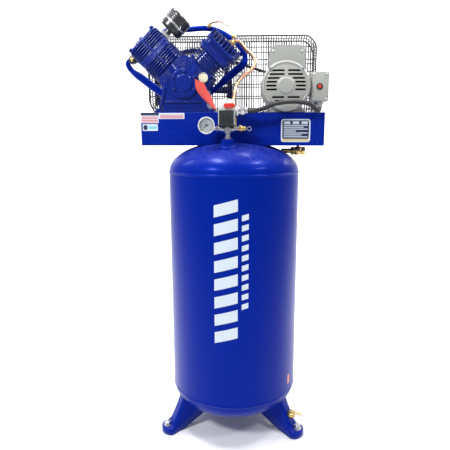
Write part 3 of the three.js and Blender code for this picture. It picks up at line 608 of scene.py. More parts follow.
# %% The finishes of this compressor
GLOSS = {"Coat Weight": 0.04, "Coat Roughness": 0.05, "Specular IOR Level": 0.26, "Specular Tint": (0.03,
        0.10, 1.0, 1)}
BLUE_DEEP, BLUE_DARK = (0.001, 0.016, 0.27), (0.0005, 0.009, 0.17)
blue_enamel = coated("blue enamel", BLUE_DEEP, BLUE_DARK, 0.24, tone=0.45, tone_scale=3.0, dust=0.12,
                     wear=0.15, grain=(120.0, 0.06, 0.0012), shader_values=GLOSS)
blue_cast = coated("blue enamel on castings", (0.003, 0.018, 0.22), (0.001, 0.006, 0.09), 0.26, tone=0.6,
                   tone_scale=9.0, dust=0.15, wear=0.2, grain=(260.0, 0.10, 0.0008), shader_values={**GLOSS,
        "Coat Weight": 0.35, "Specular Tint": (0.2, 0.3, 1.0, 1)})
grey_enamel = coated("motor grey enamel", (0.36, 0.37, 0.345), (0.27, 0.275, 0.26), 0.34, tone=0.5, dust=0.15,
                     wear=0.2, grain=(260.0, 0.10, 0.001), shader_values={"Coat Weight": 0.25,
        "Coat Roughness": 0.2})
grey_plastic = coated("switch cover grey", (0.44, 0.45, 0.44), (0.34, 0.35, 0.34), 0.42, tone=0.3, wear=0.0,
                      grain=(900.0, 0.08, 0.0005))
black_plastic = coated("black moulding", (0.012, 0.018, 0.022), (0.006, 0.008, 0.010), 0.45, tone=0.5,
                       dust=0.2, wear=0.1, wear_color=(0.08, 0.08, 0.08), grain=(1100.0, 0.12, 0.0005))
black_powder = coated("black powder coat", (0.012, 0.012, 0.014), (0.005, 0.005, 0.006), 0.30, tone=0.4,
                      dust=0.25, wear=0.25, wear_color=(0.25, 0.25, 0.25), grain=(700.0, 0.12, 0.0006),
                      shader_values={"Coat Weight": 0.5, "Coat Roughness": 0.12})
belt_rubber = coated("belt rubber", (0.016, 0.016, 0.017), (0.008, 0.008, 0.008), 0.75, tone=0.6, dust=0.3,
                     wear=0.0, grain=(1500.0, 0.3, 0.0005))
conduit_skin = coated("conduit jacket", (0.016, 0.017, 0.019), (0.008, 0.009, 0.010), 0.32, tone=0.5,
                      dust=0.3, wear=0.0, grain=(600.0, 0.1, 0.0006))
red_plastic = coated("red moulding", (0.62, 0.028, 0.015), (0.40, 0.015, 0.010), 0.30, tone=0.3, dust=0.05,
                     wear=0.1, wear_color=(0.7, 0.3, 0.25), grain=(700.0, 0.05, 0.0005),
                     shader_values={"Coat Weight": 0.4})
cream_plastic = coated("cream moulding", (0.72, 0.68, 0.50), (0.55, 0.50, 0.35), 0.40, tone=0.4, wear=0.0,
                       grain=(700.0, 0.08, 0.0005))
white_enamel = coated("white enamel", (0.76, 0.78, 0.79), (0.62, 0.65, 0.68), 0.30, tone=0.3, wear=0.1,
                      grain=(400.0, 0.04, 0.0006), shader_values={"Coat Weight": 0.4})
white_vinyl = coated("white vinyl", (0.60, 0.68, 0.76), (0.52, 0.60, 0.68), 0.33, tone=0.25, tone_scale=12.0,
                     wear=0.0, dust=0.05, grain=(500.0, 0.04, 0.0005))
navy_vinyl, sky_vinyl, gold_vinyl, red_vinyl = [
    coated(name, color, dark, 0.35, tone=0.3, wear=0.0, dust=0.05, grain=(500.0, 0.04, 0.0005))
    for name, color, dark in (("navy vinyl", (0.015, 0.022, 0.075), (0.010, 0.014, 0.05)),
                              ("sky vinyl", (0.20, 0.52, 0.72), (0.14, 0.40, 0.60)),
                              ("gold vinyl", (0.62, 0.50, 0.20), (0.50, 0.38, 0.14)),
                              ("red vinyl", (0.60, 0.05, 0.06), (0.48, 0.04, 0.05)))]
orange_vinyl = coated("orange vinyl", (0.80, 0.27, 0.16), (0.62, 0.18, 0.12), 0.4, tone=0.4, tone_scale=60.0,
                      wear=0.0, dust=0.0, grain=(500.0, 0.04, 0.0005))
tag_card = coated("red tag card", (0.66, 0.075, 0.055), (0.50, 0.045, 0.035), 0.5, tone=0.4, wear=0.0,
                  dust=0.0, grain=(800.0, 0.1, 0.0004))
filter_paper = coated("filter paper", (0.66, 0.60, 0.42), (0.52, 0.46, 0.30), 0.85, tone=0.5, wear=0.0,
                      grain=(900.0, 0.3, 0.0008))
dark_gap = coated("shadow inside vents", (0.006, 0.006, 0.006), (0.003, 0.003, 0.003), 0.8, tone=0.3,
                  wear=0.0, dust=0.0)
zinc = bare_metal("zinc plate", (0.62, 0.63, 0.64), (0.42, 0.43, 0.45), 0.26, tone_scale=40.0)
steel = bare_metal("machined steel", (0.45, 0.45, 0.46), (0.30, 0.30, 0.31), 0.30)
iron = coated("dark iron", (0.05, 0.05, 0.052), (0.03, 0.03, 0.03), 0.45, tone=0.5, dust=0.2, wear=0.4,
              wear_color=(0.3, 0.3, 0.3), grain=(500.0, 0.25, 0.001), shader_values={"Metallic": 0.6})
brass = bare_metal("turned brass", (0.74, 0.55, 0.22), (0.50, 0.34, 0.12), 0.26, tone_scale=30.0)
copper = bare_metal("drawn copper", (0.83, 0.46, 0.31), (0.66, 0.32, 0.20), 0.24, tone=0.35, tone_scale=10.0,
                    line_strength=0.008)
can_black = coated("satin black sheet", (0.045, 0.047, 0.052), (0.025, 0.026, 0.029), 0.28, tone=0.4,
                   dust=0.0, wear=0.1, grain=(300.0, 0.03, 0.0005), shader_values={"Metallic": 0.55,
        "Coat Weight": 0.3})
aluminium = bare_metal("machined aluminium", (0.70, 0.71, 0.72), (0.55, 0.56, 0.57), 0.32)
pale_floor = coated("studio floor", (0.84, 0.84, 0.85), (0.80, 0.80, 0.81), 0.55, tone=0.3, tone_scale=0.6,
                    wear=0.0, dust=0.0, grain=(30.0, 0.02, 0.001))
floor_mesh.materials.append(pale_floor)


def make_lens():
    """Clear plastic window: transmission with a plain metallic of zero and a faint smear in its roughness."""
    material, tree, shader = new_material("clear window")
    smear = add_node(tree, "ShaderNodeTexNoise", Scale=30.0, Detail=3.0)
    amount = add_node(tree, "ShaderNodeMapRange", To_Min=0.02, To_Max=0.10)
    coordinates = add_node(tree, "ShaderNodeTexCoord")
    tree.links.new(coordinates.outputs["Object"], smear.inputs["Vector"])
    tree.links.new(smear.outputs["Fac"], amount.inputs["Value"])
    tree.links.new(amount.outputs["Result"], shader.inputs["Roughness"])
    set_shader(shader, {"Base Color": (0.95, 0.97, 0.98, 1), "Transmission Weight": 1.0, "IOR": 1.2})
    return material


clear_window = make_lens()
print(len(bpy.data.materials), "materials")

# %% [markdown]
# ## The tank
# The real tank is a rolled sheet with a dished head welded on each end. One turned surface gives all of it:
# quarter ellipses for the heads, a straight side, and a raised weld at each seam whose ripples come from a
# sine around the tank. The heads are a little smaller than the side, as they are where a sheet laps over them.

# %% Tank surface
TANK_RADIUS = (shell_high.x - shell_low.x) / 2 / MM
LOWER_SEAM, UPPER_SEAM = shell_low.z / MM, shell_high.z / MM
CROWN_LOW = node_box("tank_bottom_head")[0][2]
CROWN_HIGH = node_box("tank_top_head")[1][2]


def tank_surface(sides=192):
    """Radius by height: ellipse, wall, ellipse; a weld is a bell curve times a ripple around the tank."""
    t = np.linspace(0, np.pi / 2, 40)
    near = np.linspace(-9, 9, 19)
    lower = np.stack([np.sin(t), LOWER_SEAM - (LOWER_SEAM - CROWN_LOW) * np.cos(t)], axis=1)
    upper = np.stack([np.cos(t), UPPER_SEAM + (CROWN_HIGH - UPPER_SEAM) * np.sin(t)], axis=1)
    wall = np.concatenate([LOWER_SEAM + 10 + near, [400, 630, 860], UPPER_SEAM - 10 + near])
    radius = np.concatenate([lower[:, 0] * (TANK_RADIUS - 1.2), np.full(len(wall), TANK_RADIUS),
                             upper[:, 0] * (TANK_RADIUS - 1.2)])
    height = np.concatenate([lower[:, 1], wall, upper[:, 1]])
    angle = np.linspace(0, 2 * np.pi, sides, endpoint=False)
    ripple = 1 + 0.25 * np.sin(64 * angle)[None, :]
    seams = sum(np.exp(-((height - seam) / 3.2) ** 2) for seam in (LOWER_SEAM + 4, UPPER_SEAM - 4))
    full = radius[:, None] + 1.6 * seams[:, None] * ripple * (radius[:, None] > TANK_RADIUS * 0.9)
    grid = np.stack([full * np.cos(angle), full * np.sin(angle), np.broadcast_to(height[:, None],
            full.shape)], axis=2)
    return skin(grid, ends=False)


new_piece("tank_skin", tank_surface(), blue_enamel, replaces=("tank_shell", "tank_top_head",
        "tank_bottom_head"), sharp=70)
seam_angle = math.radians(125)
seam_line = np.stack([np.full(60, TANK_RADIUS * math.cos(seam_angle)), np.full(60,
        TANK_RADIUS * math.sin(seam_angle)), np.linspace(LOWER_SEAM + 6, UPPER_SEAM - 6, 60)], axis=1)
new_piece("tank_long_weld", swept(seam_line, 2.2 + 0.3 * np.sin(np.arange(60) * 2.4), sides=10), blue_enamel,
          slot="blue_paint")
print("tank", TANK_RADIUS, LOWER_SEAM, UPPER_SEAM, CROWN_LOW, CROWN_HIGH)


# %% [markdown]
# ## Legs and floor bolts
# Each leg is pressed from one sheet: a narrow ridge, a skirt down each side, and a round toe. Its shape is a row
# of stations along the ridge. At each station the section is half a squarish superellipse from one skirt's edge
# over the ridge to the other, and a Solidify modifier gives the sheet its thickness.

# %% Leg
LEG_STATIONS = np.array([
    # ridge radius, ridge height, skirt radius, skirt height, half width
    [246, 152, 120, 82, 30], [257, 120, 162, 54, 28], [271, 88, 208, 28, 27], [283, 62, 246, 9, 27],
    [291, 46, 270, 2, 29], [299, 34, 286, 0, 35], [307, 29, 299, 0, 40], [316, 28, 312, 0, 39.5],
    [325, 28, 324, 0, 32], [331.5, 27.5, 331.5, 0, 21], [335.5, 26.5, 335.5, 0, 10], [337, 26, 337, 0, 0.4]])
LEG_ANGLES = {"left": 210, "right": -30, "rear": 90}


def leg_sheet(angle, rows=56, columns=41):
    """Superellipse section of power 7: across = half width * sin^(2/7), rise from skirt to ridge = cos^(2/7)."""
    stations = smooth_path(LEG_STATIONS, rows)
    a = np.linspace(-np.pi / 2, np.pi / 2, columns)
    across = np.sign(np.sin(a)) * np.abs(np.sin(a)) ** (2 / 7)
    rise = np.abs(np.cos(a)) ** (2 / 7)
    ridge_r, ridge_z, skirt_r, skirt_z, half = (stations[:, i:i + 1] for i in range(5))
    out = skirt_r + rise * (ridge_r - skirt_r)
    side = half * across
    up = np.maximum(skirt_z + rise * (ridge_z - skirt_z), 0.8)
    turn = math.radians(angle)
    grid = np.stack([out * math.cos(turn) - side * math.sin(turn),
                     out * math.sin(turn) + side * math.cos(turn), up], axis=2)
    return grid.reshape(-1, 3), grid_faces(rows, columns, wrap_columns=False)


for side, angle in LEG_ANGLES.items():
    leg = new_piece(f"leg_{side}_sheet", leg_sheet(angle), blue_enamel, replaces=(f"leg_{side}",), sharp=60)
    sheet = leg.modifiers.new("Sheet", "SOLIDIFY")
    sheet.thickness = 4 * MM
    sheet.offset = -1


# %% Floor bolts: washer, nut and stud
def hex_ring(across_flats, low, high):
    """Six-sided nut body with its corners chamfered at both ends."""
    corner = across_flats / math.sqrt(3)
    edge = [(0, low), (corner * 0.9, low), (corner, low + 1.2), (corner, high - 1.2), (corner * 0.9, high),
            (0, high)]
    return turned(edge, sides=6)


def floor_bolt():
    """Washer, nut and rounded stud end, stacked along +Z from the pad's top."""
    washer = soft_turned([(0, 0), (17, 0), (17, 2.6), (0, 2.6)], 0.8, sides=48)
    stud = soft_turned([(0, -22), (8, -22), (8, 25), (6.5, 27), (0, 27)], 1.0, sides=32)
    return merged(washer, hex_ring(24, 2.7, 16), stud)


BOLT_RADIUS = 313
PAD_TOP = 28.3
bolt_spots = [[BOLT_RADIUS * math.cos(math.radians(a)), BOLT_RADIUS * math.sin(math.radians(a)), PAD_TOP]
              for a in LEG_ANGLES.values()]
new_piece("floor_bolts", copied(floor_bolt(), bolt_spots, (0, 0, 1)), zinc, slot="bare_steel")

# %% [markdown]
# ## Tank graphics
# The real tank carries large white lettering up its front. Here plain slanted bars and a row of dashes take its
# place. Each mark is a thin closed film that follows the tank's curve: outer and inner points share one loop.


# %% White marks on the tank's front
def film_on_tank(x0, x1, z0, z1, slant=0.0, thickness=0.5, columns=10):
    """Film between two widths and heights; its points lie on the tank's circle, pushed out by its thickness."""
    across = np.linspace(x0, x1, columns)
    loop_x = np.concatenate([across, across[::-1]])
    loop_r = np.concatenate([np.full(columns, TANK_RADIUS + thickness), np.full(columns, TANK_RADIUS - 0.5)])
    angle = -np.pi / 2 + loop_x / TANK_RADIUS
    heights = np.array([z0, z1])
    lean = slant * (loop_x - x0) / (x1 - x0)
    grid = np.stack([np.broadcast_to(loop_r * np.cos(angle), (2, len(angle))),
                     np.broadcast_to(loop_r * np.sin(angle), (2, len(angle))), heights[:, None] + lean],
                    axis=2)
    return skin(grid)


BARS = [film_on_tank(-61, 27, z, z + 44, slant=24) for z in np.arange(448, 960, 69.5)]
DASHES = [film_on_tank(42, 67, z, z + 21, slant=7) for z in np.arange(584, 940, 37.5)]
new_piece("tank_bars", merged(*BARS), white_vinyl, slot="gauge_white")
new_piece("tank_dashes", merged(*DASHES), white_vinyl, slot="gauge_white")
new_piece("tank_side_mark", film_on_tank(276, 292, 214, 252), orange_vinyl, slot="red_plastic")
print(len(BARS), "bars and", len(DASHES), "dashes")


# %% [markdown]
# ## Platform and its stickers
# The platform is a folded sheet, so the CAD shape is right and only its edges need rounding. The stickers are
# plain colour blocks without any wording: a banded plate and a strip on the left, a bordered plate on the right.

# %% Platform
softened_node("platform", blue_enamel, radius=2.4, segments=3)
flange_front = node_box("platform")[0][1]
flange_top = node_box("platform")[1][2]


def sticker(name, x0, x1, z0, z1, material, proud=0.5, radius=3.0):
    """Thin plate on the platform's front flange."""
    outline = rounded_outline((x0, z0), (x1, z1), radius)
    return new_piece(name, prism(outline, flange_front - proud, flange_front + 0.2, radius=0.15, segments=1),
                     material, slot="gauge_white")


sticker("label_frame", 184, 295, 1201, 1287, white_vinyl, radius=9)
sticker("label_panel", 189, 290, 1213, 1282, navy_vinyl, proud=0.8, radius=6)
sticker("label_band", 189, 290, 1205, 1212, gold_vinyl, proud=0.8, radius=2)
label_rows = [prism(rounded_outline((194, z), (x1, z + 3.2), 0.8), flange_front - 1.0, flange_front,
                    radius=0.1, segments=1) for z, x1 in zip(np.arange(1219, 1266, 7.2), (285, 262, 285, 240,
        285, 270, 285))]
label_blocks = [prism(rounded_outline((x, 1269), (x + 24, 1278), 1.2), flange_front - 1.0, flange_front,
                      radius=0.1, segments=1) for x in (195, 228, 261)]
new_piece("label_rows", merged(*label_rows, *label_blocks), white_vinyl, slot="gauge_white")
sticker("striped_plate", -354, -286, 1272, 1311, white_vinyl, radius=1.5)
sticker("striped_plate_band", -354, -286, 1301, 1311, navy_vinyl, proud=0.8, radius=1)
plate_lines = [prism(rounded_outline((-351, z), (-289, z + 3), 0.5), flange_front - 0.8, flange_front,
                     radius=0.1, segments=1) for z in np.arange(1275, 1299, 6.2)]
strip_lines = [prism(rounded_outline((-280, z), (-190, z + 2.4), 0.5), flange_front - 0.8, flange_front,
                     radius=0.1, segments=1) for z in (1291, 1296, 1301)]
sticker("strip_white", -285, -186, 1288, 1310, white_vinyl, radius=1.5)
new_piece("strip_lines", merged(*plate_lines, *strip_lines), red_vinyl, slot="gauge_white")
sticker("small_label", -349, -290, 1243, 1268, white_vinyl, radius=2)
sticker("small_label_panel", -346, -330, 1246, 1265, navy_vinyl, proud=0.8, radius=7)
sticker("small_label_bar", -326, -294, 1250, 1261, sky_vinyl, proud=0.8, radius=1.5)


# %% [markdown]
# ## The pump's castings
# The crankcase is a cast pedestal with two decks at right angles. The cast pieces take their shape from the CAD
# and get generous rounds, because sand castings have no sharp edges. Bolts are added as one repeated shape.

# %% Crankcase, bearing cover and base bolts
CRANK = np.array([-186.0, 0.0, 1421.0])
ROOT_HALF = math.sqrt(0.5)
softened_node("crankcase", blue_cast, radius=4.0, segments=3)
cover_low, cover_high = node_box("bearing_cover")
cover_front = cover_low[1]
cover_profile = softened_profile([(20.6, cover_high[1]), (30, cover_high[1]), (30, -70.3), (55, -70.3), (55,
        -79), (47, -80), (34, -79), (30, -85), (24, cover_front), (0, cover_front)], 2.0)
new_piece("bearing_cover_cast", turned(cover_profile, (CRANK[0], 0, CRANK[2]), (0, 1, 0)), blue_cast,
          replaces=("bearing_cover",))


rib_outlines = [[(-286, 1326), (-276, 1326), (-258, 1404), (-266, 1410)], [(-106, 1326), (-96, 1326), (-112,
        1386), (-121, 1392)], [(-262, 1349), (-124, 1349), (-126, 1357), (-260, 1357)]]
arms = [swept([[CRANK[0] + side * ROOT_HALF * d, -52, CRANK[2] + ROOT_HALF * d] for d in (30, 45, 60, 72,
        80)], [25, 26, 28, 31, 33], 32) for side in (-1, 1)]
new_piece("crankcase_ribs", merged(*[prism(corners, -77, -68, radius=1.8,
        segments=3) for corners in rib_outlines], *arms), blue_cast, slot="blue_paint")


def hex_bolt(across_flats=13.0, washer=9.5):
    """Washer and hexagon head with a chamfered top, standing along +Z."""
    ring = soft_turned([(0, 0), (washer, 0), (washer, 1.6), (0, 1.6)], 0.4, sides=24)
    corner = across_flats / math.sqrt(3)
    head = turned([(0, 1.6), (corner, 1.6), (corner, 7.2), (corner * 0.88, 8.4), (0, 8.6)], sides=6)
    return merged(ring, head)


ring_angles = np.radians(np.arange(0, 360, 60) + 30)
cover_bolts = np.stack([CRANK[0] + 45 * np.cos(ring_angles), np.full(6, -79.5),
                        CRANK[2] + 45 * np.sin(ring_angles)], axis=1)
new_piece("cover_bolts", copied(hex_bolt(10, 8), cover_bolts, (0, -1, 0)), blue_cast, slot="blue_paint")
foot_low, foot_high = node_box("crankcase")
foot_spots = [[x, y, flange_top + 14] for x in (foot_low[0] + 16, foot_high[0] - 16) for y in (-56, 74)]
new_piece("pump_foot_bolts", copied(hex_bolt(17, 13), foot_spots, (0, 0, 1)), zinc, slot="bare_steel")


# %% [markdown]
# ## Finned cylinders and heads
# Air cooling needs thin fins. A cylinder is one surface: at each height the outline blends from the round
# barrel to a squarish fin, and the blend is a row of steep pulses along the height. The low-pressure head is
# stacked the same way; the high-pressure head has fins standing on its top, as the castings of this kind do.

# %% Bank frame and fin stack
BANKS = {"low": {"side": -1, "y": -8.0}, "high": {"side": 1, "y": 18.0}}
DECK, BARREL_TOP, PLATE_TOP, HEAD_TOP = 82.3, 152.0, 158.0, 231.0


def bank_points(bank, points):
    """Local across, front-back and along-axis coordinates turned 45 degrees about the crankshaft."""
    s = BANKS[bank]["side"] * ROOT_HALF
    points = np.asarray(points, float)
    across, depth, along = points[..., 0], points[..., 1], points[..., 2]
    return np.stack([CRANK[0] + ROOT_HALF * across + s * along, BANKS[bank]["y"] + depth,
                     CRANK[2] - s * across + ROOT_HALF * along], axis=-1)


def bank_axis(bank, direction):
    """A local direction turned with its cylinder."""
    return bank_points(bank, direction) - bank_points(bank, (0, 0, 0))


def in_bank(bank, shape):
    """A shape drawn about a cylinder's own axis, put in its place on the pump."""
    return bank_points(bank, shape[0]), shape[1]


def fin_stack(bottom, top, core, half_x, half_y, count, thick=3.2, power=5, sides=112):
    """Outline radius = core + pulse(height) * (superellipse - core); a pulse is a fin with a rounded rim."""
    pitch = (top - bottom) / count
    u = np.array([0.0, 0.02, 0.10, 0.30, 0.50, 0.70, 0.90, 0.98, 1.0])
    rise = np.array([0.0, 0.80, 0.965, 0.995, 1.0, 0.995, 0.965, 0.80, 0.0])
    starts = bottom + pitch * (np.arange(count) + 0.5) - thick / 2
    heights = np.concatenate([[bottom, bottom + 0.4], (starts[:, None] + thick * u[None]).ravel(), [top - 0.4,
            top]])
    pulse = np.concatenate([[0, 0], np.tile(rise, count), [0, 0]])[:, None]
    angle = np.linspace(0, 2 * np.pi, sides, endpoint=False)[None]
    fin = (np.abs(np.cos(angle) / half_x) ** power + np.abs(np.sin(angle) / half_y) ** power) ** (-1 / power)
    core_x, core_y = core
    inner = (np.abs(np.cos(angle) / core_x) ** power + np.abs(np.sin(angle) / core_y) ** power) ** (-1
            / power)
    radius = inner + pulse * (fin - inner)
    grid = np.stack([radius * np.cos(angle), radius * np.sin(angle), np.broadcast_to(heights[:, None],
            radius.shape)], axis=2)
    return skin(grid)


# %% Cylinders and valve plates
def flange_plate(half_x, half_y, low, high, corner=16, radius=1.6):
    """Plate square to the cylinder's axis, with rounded corners and edges."""
    return prism(rounded_outline((-half_x, -half_y), (half_x, half_y), corner), low, high, axis=2,
                 radius=radius)


FIN_HALF = {"low": 74, "high": 68}
BARREL = {"low": 62, "high": 44}
for bank in BANKS:
    core = BARREL[bank]
    barrel = merged(fin_stack(DECK + 6, BARREL_TOP - 5, (core, core), FIN_HALF[bank], FIN_HALF[bank] - 4, 6,
                              power=4), flange_plate(61, 61, DECK, DECK + 8), flange_plate(66, 66,
            BARREL_TOP - 7, BARREL_TOP))
    if bank == "low":
        barrel = merged(barrel, block((-4, -72, DECK + 5), (4, -58, BARREL_TOP - 3), 1.8))
    new_piece(f"cylinder_{bank}_cast", in_bank(bank, barrel), blue_cast, replaces=(f"cylinder_{bank}",))
    plate = flange_plate(66, 66, BARREL_TOP + 0.3, PLATE_TOP, radius=0.6)
    new_piece(f"valve_plate_{bank}_painted", in_bank(bank, plate), blue_cast, replaces=(f"valve_plate_{bank}",
            ))

# %% Heads
HEAD_BASE = PLATE_TOP + 0.3
low_head = merged(flange_plate(70, 66, HEAD_BASE, HEAD_BASE + 10, 12, 2),
                  fin_stack(HEAD_BASE + 8, HEAD_TOP - 7, (60, 54), 71, 66, 6, thick=3.8, power=7),
                  flange_plate(66, 60, HEAD_TOP - 9, HEAD_TOP - 1, 14, 2.5),
                  block((-4, -67.5, HEAD_BASE + 6), (4, -50, HEAD_TOP - 8), 1.8),
                  *[block((x - 9, y - 11, HEAD_TOP - 4), (x + 9, y + 11, HEAD_TOP + 4), 2.5)
                    for x in (-40, 40) for y in (-30, 32)])
new_piece("head_low_cast", in_bank("low", low_head), blue_cast, replaces=("head_low",))
fins = [block((x - 2.2, -59, 190), (x + 2.2, 59, HEAD_TOP), 1.8, 3) for x in np.linspace(-62, 62, 9)]
high_head = merged(flange_plate(70, 65, HEAD_BASE, HEAD_BASE + 10, 12, 2),
                   fin_stack(HEAD_BASE + 8, 192, (60, 55), 70, 64, 2, thick=3.8, power=7),
                   flange_plate(68, 62, 188, 197, 12, 2.5), *fins,
                   soft_turned([(0, 190), (19, 190), (17, 226), (15, 231), (0, 231)], 2, (8.5, 27, 0)))
new_piece("head_high_cast", in_bank("high", high_head), blue_cast, replaces=("head_high",))

# %% Head and cylinder bolts
head_spots = np.array([(x, y) for x in (-57, 0, 57) for y in (-52, 52) if (x, y) != (0, 0)])
for bank, top in (("low", HEAD_TOP - 1), ("high", 196.5)):
    local = np.column_stack([head_spots * (1.0 if bank == "low" else 0.99), np.full(len(head_spots), top)])
    base = np.column_stack([np.array([(x, y) for x in (-53, 53) for y in (-53, 53)]), np.full(4, DECK + 8)])
    spots = np.vstack([bank_points(bank, local), bank_points(bank, base)])
    new_piece(f"head_bolts_{bank}", copied(hex_bolt(13, 10), spots, bank_axis(bank, (0, 0, 1))), blue_cast,
              slot="blue_paint")
print("pump castings done")

# %% [markdown]
# ## Intake filter
# The filter is a can on its side with a clamp band round its seam. Its shell is a turned profile with shallow
# ribs; the band and its clip are separate pieces of bright wire and strip.

# %% Filter
FILTER_AXIS, FILTER_RADIUS = 189.0, 48.5


def across_low(profile, sides=96):
    """Turned shape whose axis runs across the low-pressure bank, at the filter's height along it."""
    return in_bank("low", turned(profile, (0, 0, FILTER_AXIS), (1, 0, 0), sides))


nipple = [(0, 70.4), (13, 70.4), (13, 99), (0, 99)]
dish = softened_profile([(0, 97), (40, 97), (44, 101), (46.5, 106), (46.5, 124), (48.2, 125), (48.2, 127.7),
                         (0, 127.7)], 1.5)
new_piece("filter_dish", merged(across_low(dish), across_low(nipple, 32)), can_black, replaces=("filter_base",
        ))
rib_at = np.linspace(132, 160, 57)
rib_radius = 46.9 + 0.5 * np.clip(np.sin((rib_at - 132) / 28 * 2 * np.pi * 3), -0.3, 1)
can = np.vstack([[(0, 128), (48.2, 128), (48.2, 130.5)], np.column_stack([rib_radius, rib_at]),
                 softened_profile([(46.6, 161), (46.6, 165), (41, 171), (20, 171), (18, 169.5), (0, 169.5)],
                                  2.5)])
new_piece("filter_can", across_low(can), can_black, replaces=("filter_cover",))
band = softened_profile([(48.3, 124.5), (49.4, 124.5), (49.4, 131), (48.3, 131), (48.3, 124.5)], 0.3)
new_piece("filter_band", in_bank("low", turned(band, (0, 0, FILTER_AXIS), (1, 0, 0), ring=True)), zinc,
          slot="bare_steel")
clip_turn = np.linspace(0, 2 * np.pi, 28, endpoint=False)
clip_ring = np.stack([129 + 8.5 * np.sin(clip_turn), -40 + 5 * np.cos(clip_turn),
                      FILTER_AXIS - 31 + 6 * np.cos(clip_turn)], axis=1)
new_piece("filter_clip", in_bank("low", swept(clip_ring, 1.4, 10, closed=True)), zinc, slot="bare_steel")
new_piece("filter_fitting", in_bank("low", turned([(0, 70), (17, 70), (18.5, 71.5), (18.5, 82), (17, 83.5),
        (0, 83.5)], (0, 0, FILTER_AXIS), (1, 0, 0), 6)), zinc, slot="bare_steel")

# %% [markdown]
# ## Pipes
# Rigid pipes are a round section swept along a smooth curve through listed points. The blue interstage pipe
# loops over the pump and back under the crankshaft.

# %% Interstage pipe
PIPE_Y = 110
LOOP = [[-317, 58.5, 1580], [-317, 82, 1580], [-314, 105, 1612], [-285, PIPE_Y, 1648], [-200, PIPE_Y, 1652],
        [-110, PIPE_Y, 1655], [-60, PIPE_Y, 1640], [-14, PIPE_Y, 1612], [26, PIPE_Y, 1575], [40, PIPE_Y,
        1545], [33, PIPE_Y, 1516], [3, PIPE_Y, 1490], [-50, PIPE_Y, 1446], [-99, PIPE_Y, 1405], [-145, PIPE_Y,
        1368], [-190, PIPE_Y, 1352], [-240, PIPE_Y, 1360], [-321, PIPE_Y, 1408], [-395, PIPE_Y, 1462], [-438,
        108, 1496], [-446, 98, 1518], [-425, 88, 1534], [-392, 78, 1529], [-385, 68, 1527], [-385, 58.5,
        1527]]
BRANCH = [[-2, 83.5, 1541], [-2, 96, 1541], [12, 108, 1550], [34, PIPE_Y, 1561]]
loop_path = smooth_path(LOOP, 260)
fat_right = np.clip((loop_path[:, 0] + 70) / 25, 0, 1) * np.clip((1540 - loop_path[:, 2]) / 20, 0, 1)
fat_left = np.clip((-262 - loop_path[:, 0]) / 25, 0, 1) * np.clip((1490 - loop_path[:, 2]) / 20, 0, 1)
loop_radius = 11 + 5.0 * (fat_right + fat_left) * (loop_path[:, 1] > 105)
new_piece("interstage_pipe", merged(swept(loop_path, loop_radius, 28), swept(smooth_path(BRANCH, 24), 9, 20)),
          blue_enamel, replaces=("intercooler",))


def pipe_nut(across_flats, length):
    """Flare nut along +Z: chamfered hexagon with a turned collar at its far end."""
    nut = hex_ring(across_flats, 0, length * 0.65)
    collar = across_flats * 0.36
    neck = softened_profile([(0, length * 0.6), (collar, length * 0.6), (collar, length), (0, length)], 0.8)
    return merged(nut, turned(neck, sides=32))


nut_spots = [[-317, 59, 1580], [-385, 59, 1527], [-2, 84, 1541]]
new_piece("interstage_nuts", copied(pipe_nut(32, 20), nut_spots, (0, 1, 0)), blue_cast, slot="blue_paint")
new_piece("relief_ring", soft_turned([(0, 84), (17, 84), (17, 62), (12, 60), (0, 60)], 2, (-418, 0, 1528),
                                (0, 1, 0), 48), black_powder, slot="black_metal")
new_piece("relief_plug", soft_turned([(0, 62), (8, 62), (8, 55), (5, 52), (0, 52)], 1.5, (-418, 0, 1528),
                                (0, 1, 0), 32), brass, slot="brass")
side_line = smooth_path([[-372, 63, 1500], [-362, 84, 1490], [-340, 88, 1468], [-300, 88, 1436], [-272, 86,
        1408]], 50)
new_piece("side_line", swept(side_line, 4, 12), zinc, slot="bare_steel")

# %% Copper discharge tube and its brass fittings
head_out = bank_points("high", (8.5, 27, HEAD_TOP + 0.3))
head_next = bank_points("high", (8.5, 27, HEAD_TOP + 14))
DROP = [head_out, head_next, [18, 46, 1590], [45, 48, 1562], [70, 47, 1540], [83, 42, 1516], [74, 32, 1490],
        [47, 10, 1464], [23, -8, 1441], [8, -26, 1412], [4, -52, 1382], [2, -86, 1356], [5, -106, 1325],
        [5, -108, 1305], [5, -108, 1290.3]]
new_piece("discharge_copper", swept(smooth_path(DROP, 160), 7.5, 24), copper, replaces=("discharge_tube",))
new_piece("discharge_nuts", merged(copied(pipe_nut(25, 24), head_out, bank_axis("high", (0, 0, 1))),
                                   copied(pipe_nut(24, 22), [5, -108, 1288], (0, 0, 1))), brass, slot="brass")
thin_line = smooth_path([[-107, 98, 1660], [-104, 94, 1668], [-82, 84, 1674], [-52, 70, 1671], [-24, 58,
        1652], [-8, 50, 1624], [-2, 46, 1604]], 70)
new_piece("thin_copper_line", swept(thin_line, 4.2, 18), copper, slot="copper")
new_piece("thin_line_nuts", merged(copied(pipe_nut(17, 15), thin_line[0] - [0, 0, 4],
        unit(thin_line[3] - thin_line[0])), copied(pipe_nut(17, 15), thin_line[-1],
        unit(thin_line[-4] - thin_line[-1]))), brass, slot="brass")
valve_bottom = node_box("check_valve")[0][2]
new_piece("check_valve_turned", merged(
    turned([(0, 1262), (11, 1262), (12, 1263.5), (12, 1288.5), (11, 1290), (0, 1290)], (5, -108, 0), sides=6),
    soft_turned([(0, valve_bottom), (9, valve_bottom), (9, 1263), (0, 1263)], 1, (5, -108, 0), sides=32)),
          brass, replaces=("check_valve",))

